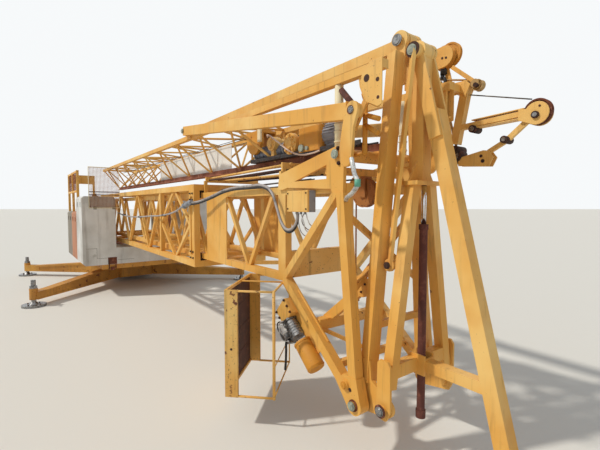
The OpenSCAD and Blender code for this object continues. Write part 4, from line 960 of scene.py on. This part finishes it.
def dress_sheaves():
    """Frame outboard of the far side of the root: twin block, post, arms and end sheave."""
    y0, y1, middle = 0.548, 0.624, 0.586
    top, end = Vector((0.235, 0, 0.888)), Vector((0.985, 0, 0.268))
    p = Piece(JIB_PIN)
    for y in (y0, y1):
        p.plate([(0.06, 0.970), (0.06, 0.885), (0.15, 0.805), (0.20, 0.795)]
                + arc(top.x, top.z, 0.090, -80, 90, 12), y - 0.004, y + 0.004)
        p.plate(arc(end.x, end.z, 0.082, -130, 150, 16) + [(0.86, 0.318), (0.86, 0.235)],
                y - 0.005, y + 0.005)
        p.plate([(0.36, 0.62), (0.44, 0.64), (0.485, 0.595), (0.44, 0.50)],
                y - 0.006, y + 0.006)
    for ax, az, bx, bz, width, thick in (
            (0.435, 0.60, 0.345, 0.13, 0.070, 0.064), (0.40, 0.262, 0.90, 0.285, 0.040, 0.066),
            (0.50, 0.302, 0.90, 0.318, 0.008, 0.084), (0.50, 0.240, 0.90, 0.250, 0.008, 0.084),
            (0.09, 0.620, 0.45, 0.612, 0.058, 0.050), (0.05, 0.905, 0.05, 0.995, 0.012, 0.084),
            (0.905, 0.225, 0.768, 0.108, 0.040, 0.030), (0.768, 0.108, 0.630, 0.035, 0.036, 0.030)):
        p.bar((ax, az), (bx, bz), width, thick, middle)
    p.bar((0.30, 0.79), (0.52, 0.60), 0.034, 0.010, 0.575)
    p.bar((0.23, 0.80), (0.28, 0.60), 0.050, 0.012, 0.606)
    for y in (y0 + 0.008, y1 - 0.008):
        p.plate([(0.39, 0.008), (0.60, 0.050), (0.645, 0.042), (0.684, -0.012),
                 (0.650, -0.080), (0.39, -0.060)], y - 0.005, y + 0.005)
    for x, z in ((0.205, 0.556), (0.375, 0.575)):
        p.box((x - 0.03, 0.430, z - 0.03), (x + 0.03, y1, z + 0.03))
    p.plate([(0.13, 0.52), (0.13, 0.62), (0.44, 0.62), (0.44, 0.54)], 0.540, 0.552)
    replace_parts(p.done("end_frame", "yellow", "jib", edge=0.0025), "end_sheave_frame")

    p = Piece(JIB_PIN)
    p.sheave(top + Vector((0.030, 0.604, 0.018)), 0.104, 0.030, 0.022)
    p.sheave(top + Vector((0.0, 0.568, 0.0)), 0.097, 0.028, 0.022)
    p.done("block_sheaves", "orange", "jib")
    p = Piece(JIB_PIN)
    p.sheave(end + Vector((-0.004, middle, 0.014)), 0.094, 0.040, 0.020)
    p.done("end_sheave", "rust", "jib")
    p = Piece(JIB_PIN)
    p.sheave((0.533, middle, 0.580), 0.046, 0.050, 0.010)
    p.rod((0.520, middle, 0.595), ACROSS, 0.034, 0.08)
    p.done("guide_roller", "dull_yellow", "jib")
    p, ends = Piece(JIB_PIN), Piece(JIB_PIN)
    for x, z, radius, inner in (
            (end.x - 0.006, end.z - 0.012, 0.026, 0.016), (0.516, 0.229, 0.030, 0.018),
            (0.768, 0.110, 0.028, 0.016), (0.372, 0.030, 0.052, 0.034)):
        p.rod((x, 0.583, z), ACROSS, radius, 0.110)
        ends.rod((x, 0.526, z), ACROSS, inner, 0.008, 20)
    p.rod((0.533, 0.583, 0.575), ACROSS, 0.018, 0.110)
    p.rod((0.372, 0.583, 0.075), ACROSS, 0.036, 0.14)
    p.done("frame_pins", "dark_rust", "jib", True)
    ends.done("frame_pin_ends", "steel", "jib", True)
    # Dark discs on the frame plates: painted shade of holes that are not cut.
    p = Piece(JIB_PIN)
    for x, y, z, radius in (
            (0.226, -0.005, 0.878, 0.010), (0.262, -0.005, 0.872, 0.010),
            (1.005, -0.006, 0.315, 0.008), (0.585, 0.002, 0.005, 0.012),
            (0.60, 0.002, -0.035, 0.015)):
        p.rod((x, y0 + y, z), ACROSS, radius, 0.004, 16)
    p.done("frame_hole_shades", "dark_rust", "jib", True)

    rods = ((0.08, 0.744, 0.50, 0.632, 0.008), (0.27, 0.578, 0.93, 0.385, 0.005),
            (0.183, 0.70, 0.345, 0.10, 0.010), (0.10, -0.020, 0.40, -0.030, 0.012),
            (0.10, 0.01, 0.37, 0.012, 0.008), (0.12, 0.30, 0.37, 0.27, 0.008))
    for k, (ax, az, bx, bz, radius) in enumerate(rods):
        straight(f"frame_rod_{k}", [((ax, 0.60, az), (bx, 0.60, bz))], radius,
                 "rope" if k == 1 else "dull_yellow", "jib", 12, JIB_PIN)
    hook = [(-0.02, middle, -0.09), (-0.03, middle, -0.15), (-0.005, middle, -0.19),
            (-0.025, middle, -0.235), (-0.07, middle, -0.215), (-0.075, middle, -0.18)]
    tube("small_hook", hook, 0.014, "black", "jib", 10, JIB_PIN + top)
    p = Piece(JIB_PIN + top)
    p.rod(hook[0], UP, 0.028, 0.10, 20)
    p.rod(hook[1], UP, 0.022, 0.05, 20, 0.014)
    p.done("small_hook_swivel", "black", "jib", True)


def dress_head_sheave():
    """Brown rims and hub of the large sheave under the jib root."""
    lo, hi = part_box("rope_sheave")
    outer, inner, steps = 0.1265, 0.108, 48
    p = Piece(((lo.x + hi.x) / 2, 0, 2.010))
    turns = full_turn(steps)
    for s in BOTH:
        for t, u in zip(turns, turns[1:] + turns[:1]):
            ring = [Vector((r * math.cos(a), 0.0265 * s, r * math.sin(a)))
                    for r, a in ((outer, t), (outer, u), (inner, u), (inner, t))]
            p.bm.faces.new([p.bm.verts.new(p.at + corner) for corner in ring])
        p.rod((0, 0.030 * s, 0), ACROSS, 0.05, 0.008, 32)
    bmesh.ops.remove_doubles(p.bm, verts=p.bm.verts, dist=0.0002)
    p.done("sheave_rims", "sheave_brown", "mast_inner")


def dress_cylinder():
    """Bright rod below the erecting cylinder's upper end."""
    lo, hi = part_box("erecting_cylinder")
    p = Piece((lo + hi) / 2)
    p.rod((0, 0, hi.z - 0.145 - p.at.z), UP, 0.0188, 0.28, 32)
    p.done("cylinder_rod_chrome", "chrome", "strut", True)


for dress in (dress_nodes, dress_pins, dress_cables, dress_box, dress_ropes, dress_winches,
              dress_lower_winch, dress_pendants, dress_cage, dress_jib, dress_tie_beams,
              dress_ballast, dress_guard, dress_railing, dress_jacks, dress_ring, dress_collar,
              dress_sheaves, dress_head_sheave, dress_cylinder):
    dress()


# Floor, light and camera

FLOOR_REACH = 400.0
AMBIENT, SUN, SUN_SPREAD = 0.44, 2.2, math.radians(3)
SUN_FROM = Vector((-0.30, -0.62, 0.72))
EYE, HEADING = Vector((6.95, -2.45, 1.90)), Vector((-0.7998, 0.6003, 0.0))
LOOK_DOWN = math.radians(2.93)


def make_floor():
    """Pale level floor at zero, far past the picture's horizon."""
    mesh = bpy.data.meshes.new("floor")
    r = FLOOR_REACH
    mesh.from_pydata([(-r, -r, 0), (r, -r, 0), (r, r, 0), (-r, r, 0)], [], [(0, 1, 2, 3)])
    mat, _, bsdf = new_material("floor")
    bsdf.inputs["Base Color"].default_value = srgb(226, 224, 218)
    bsdf.inputs["Roughness"].default_value = 0.9
    mesh.materials.append(mat)
    placed("floor", mesh)


def make_light():
    """Sky, brighter to the camera and in reflections, and a warm sun from the near side."""
    world = bpy.data.worlds.new("sky")
    bpy.context.scene.world = world
    world.use_nodes = True
    tree = world.node_tree
    tree.nodes.clear()
    ambient = node_of(tree, "Background", Color=(0.92, 0.96, 1.0, 1.0), Strength=AMBIENT)
    seen = node_of(tree, "Background", Color=(0.93, 0.95, 0.96, 1.0), Strength=1.0)
    path = node_of(tree, "LightPath")
    blend = node_of(tree, "MixShader")
    shown = path.outputs["Is Camera Ray"]
    for ray in ("Is Glossy Ray", "Is Transmission Ray"):
        either = node_of(tree, "Math", operation="MAXIMUM")
        tree.links.new(shown, either.inputs[0])
        tree.links.new(path.outputs[ray], either.inputs[1])
        shown = either.outputs[0]
    for slot, source in enumerate((shown, ambient.outputs[0], seen.outputs[0])):
        tree.links.new(source, blend.inputs[slot])
    node_of(tree, "OutputWorld", Surface=blend.outputs[0])
    sun = bpy.data.lights.new("sun", "SUN")
    sun.energy = SUN
    sun.angle = SUN_SPREAD
    sun.color = (1.0, 0.95, 0.86)
    placed("sun", sun).rotation_euler = SUN_FROM.to_track_quat("Z", "Y").to_euler()


def make_camera():
    """The photograph's standpoint: 7 m ahead of the middle, on the near side, at eye height."""
    look = HEADING.normalized() * math.cos(LOOK_DOWN) - Vector((0, 0, math.sin(LOOK_DOWN)))
    data = bpy.data.cameras.new("photo_camera")
    data.sensor_width = 36.0
    data.lens = 22.86
    data.clip_end = 200
    camera = placed("photo_camera", data)
    camera.location = EYE
    camera.rotation_euler = look.to_track_quat("-Z", "Y").to_euler()
    bpy.context.scene.camera = camera


make_floor()
make_light()
make_camera()
bpy.context.scene.view_settings.view_transform = "Standard"
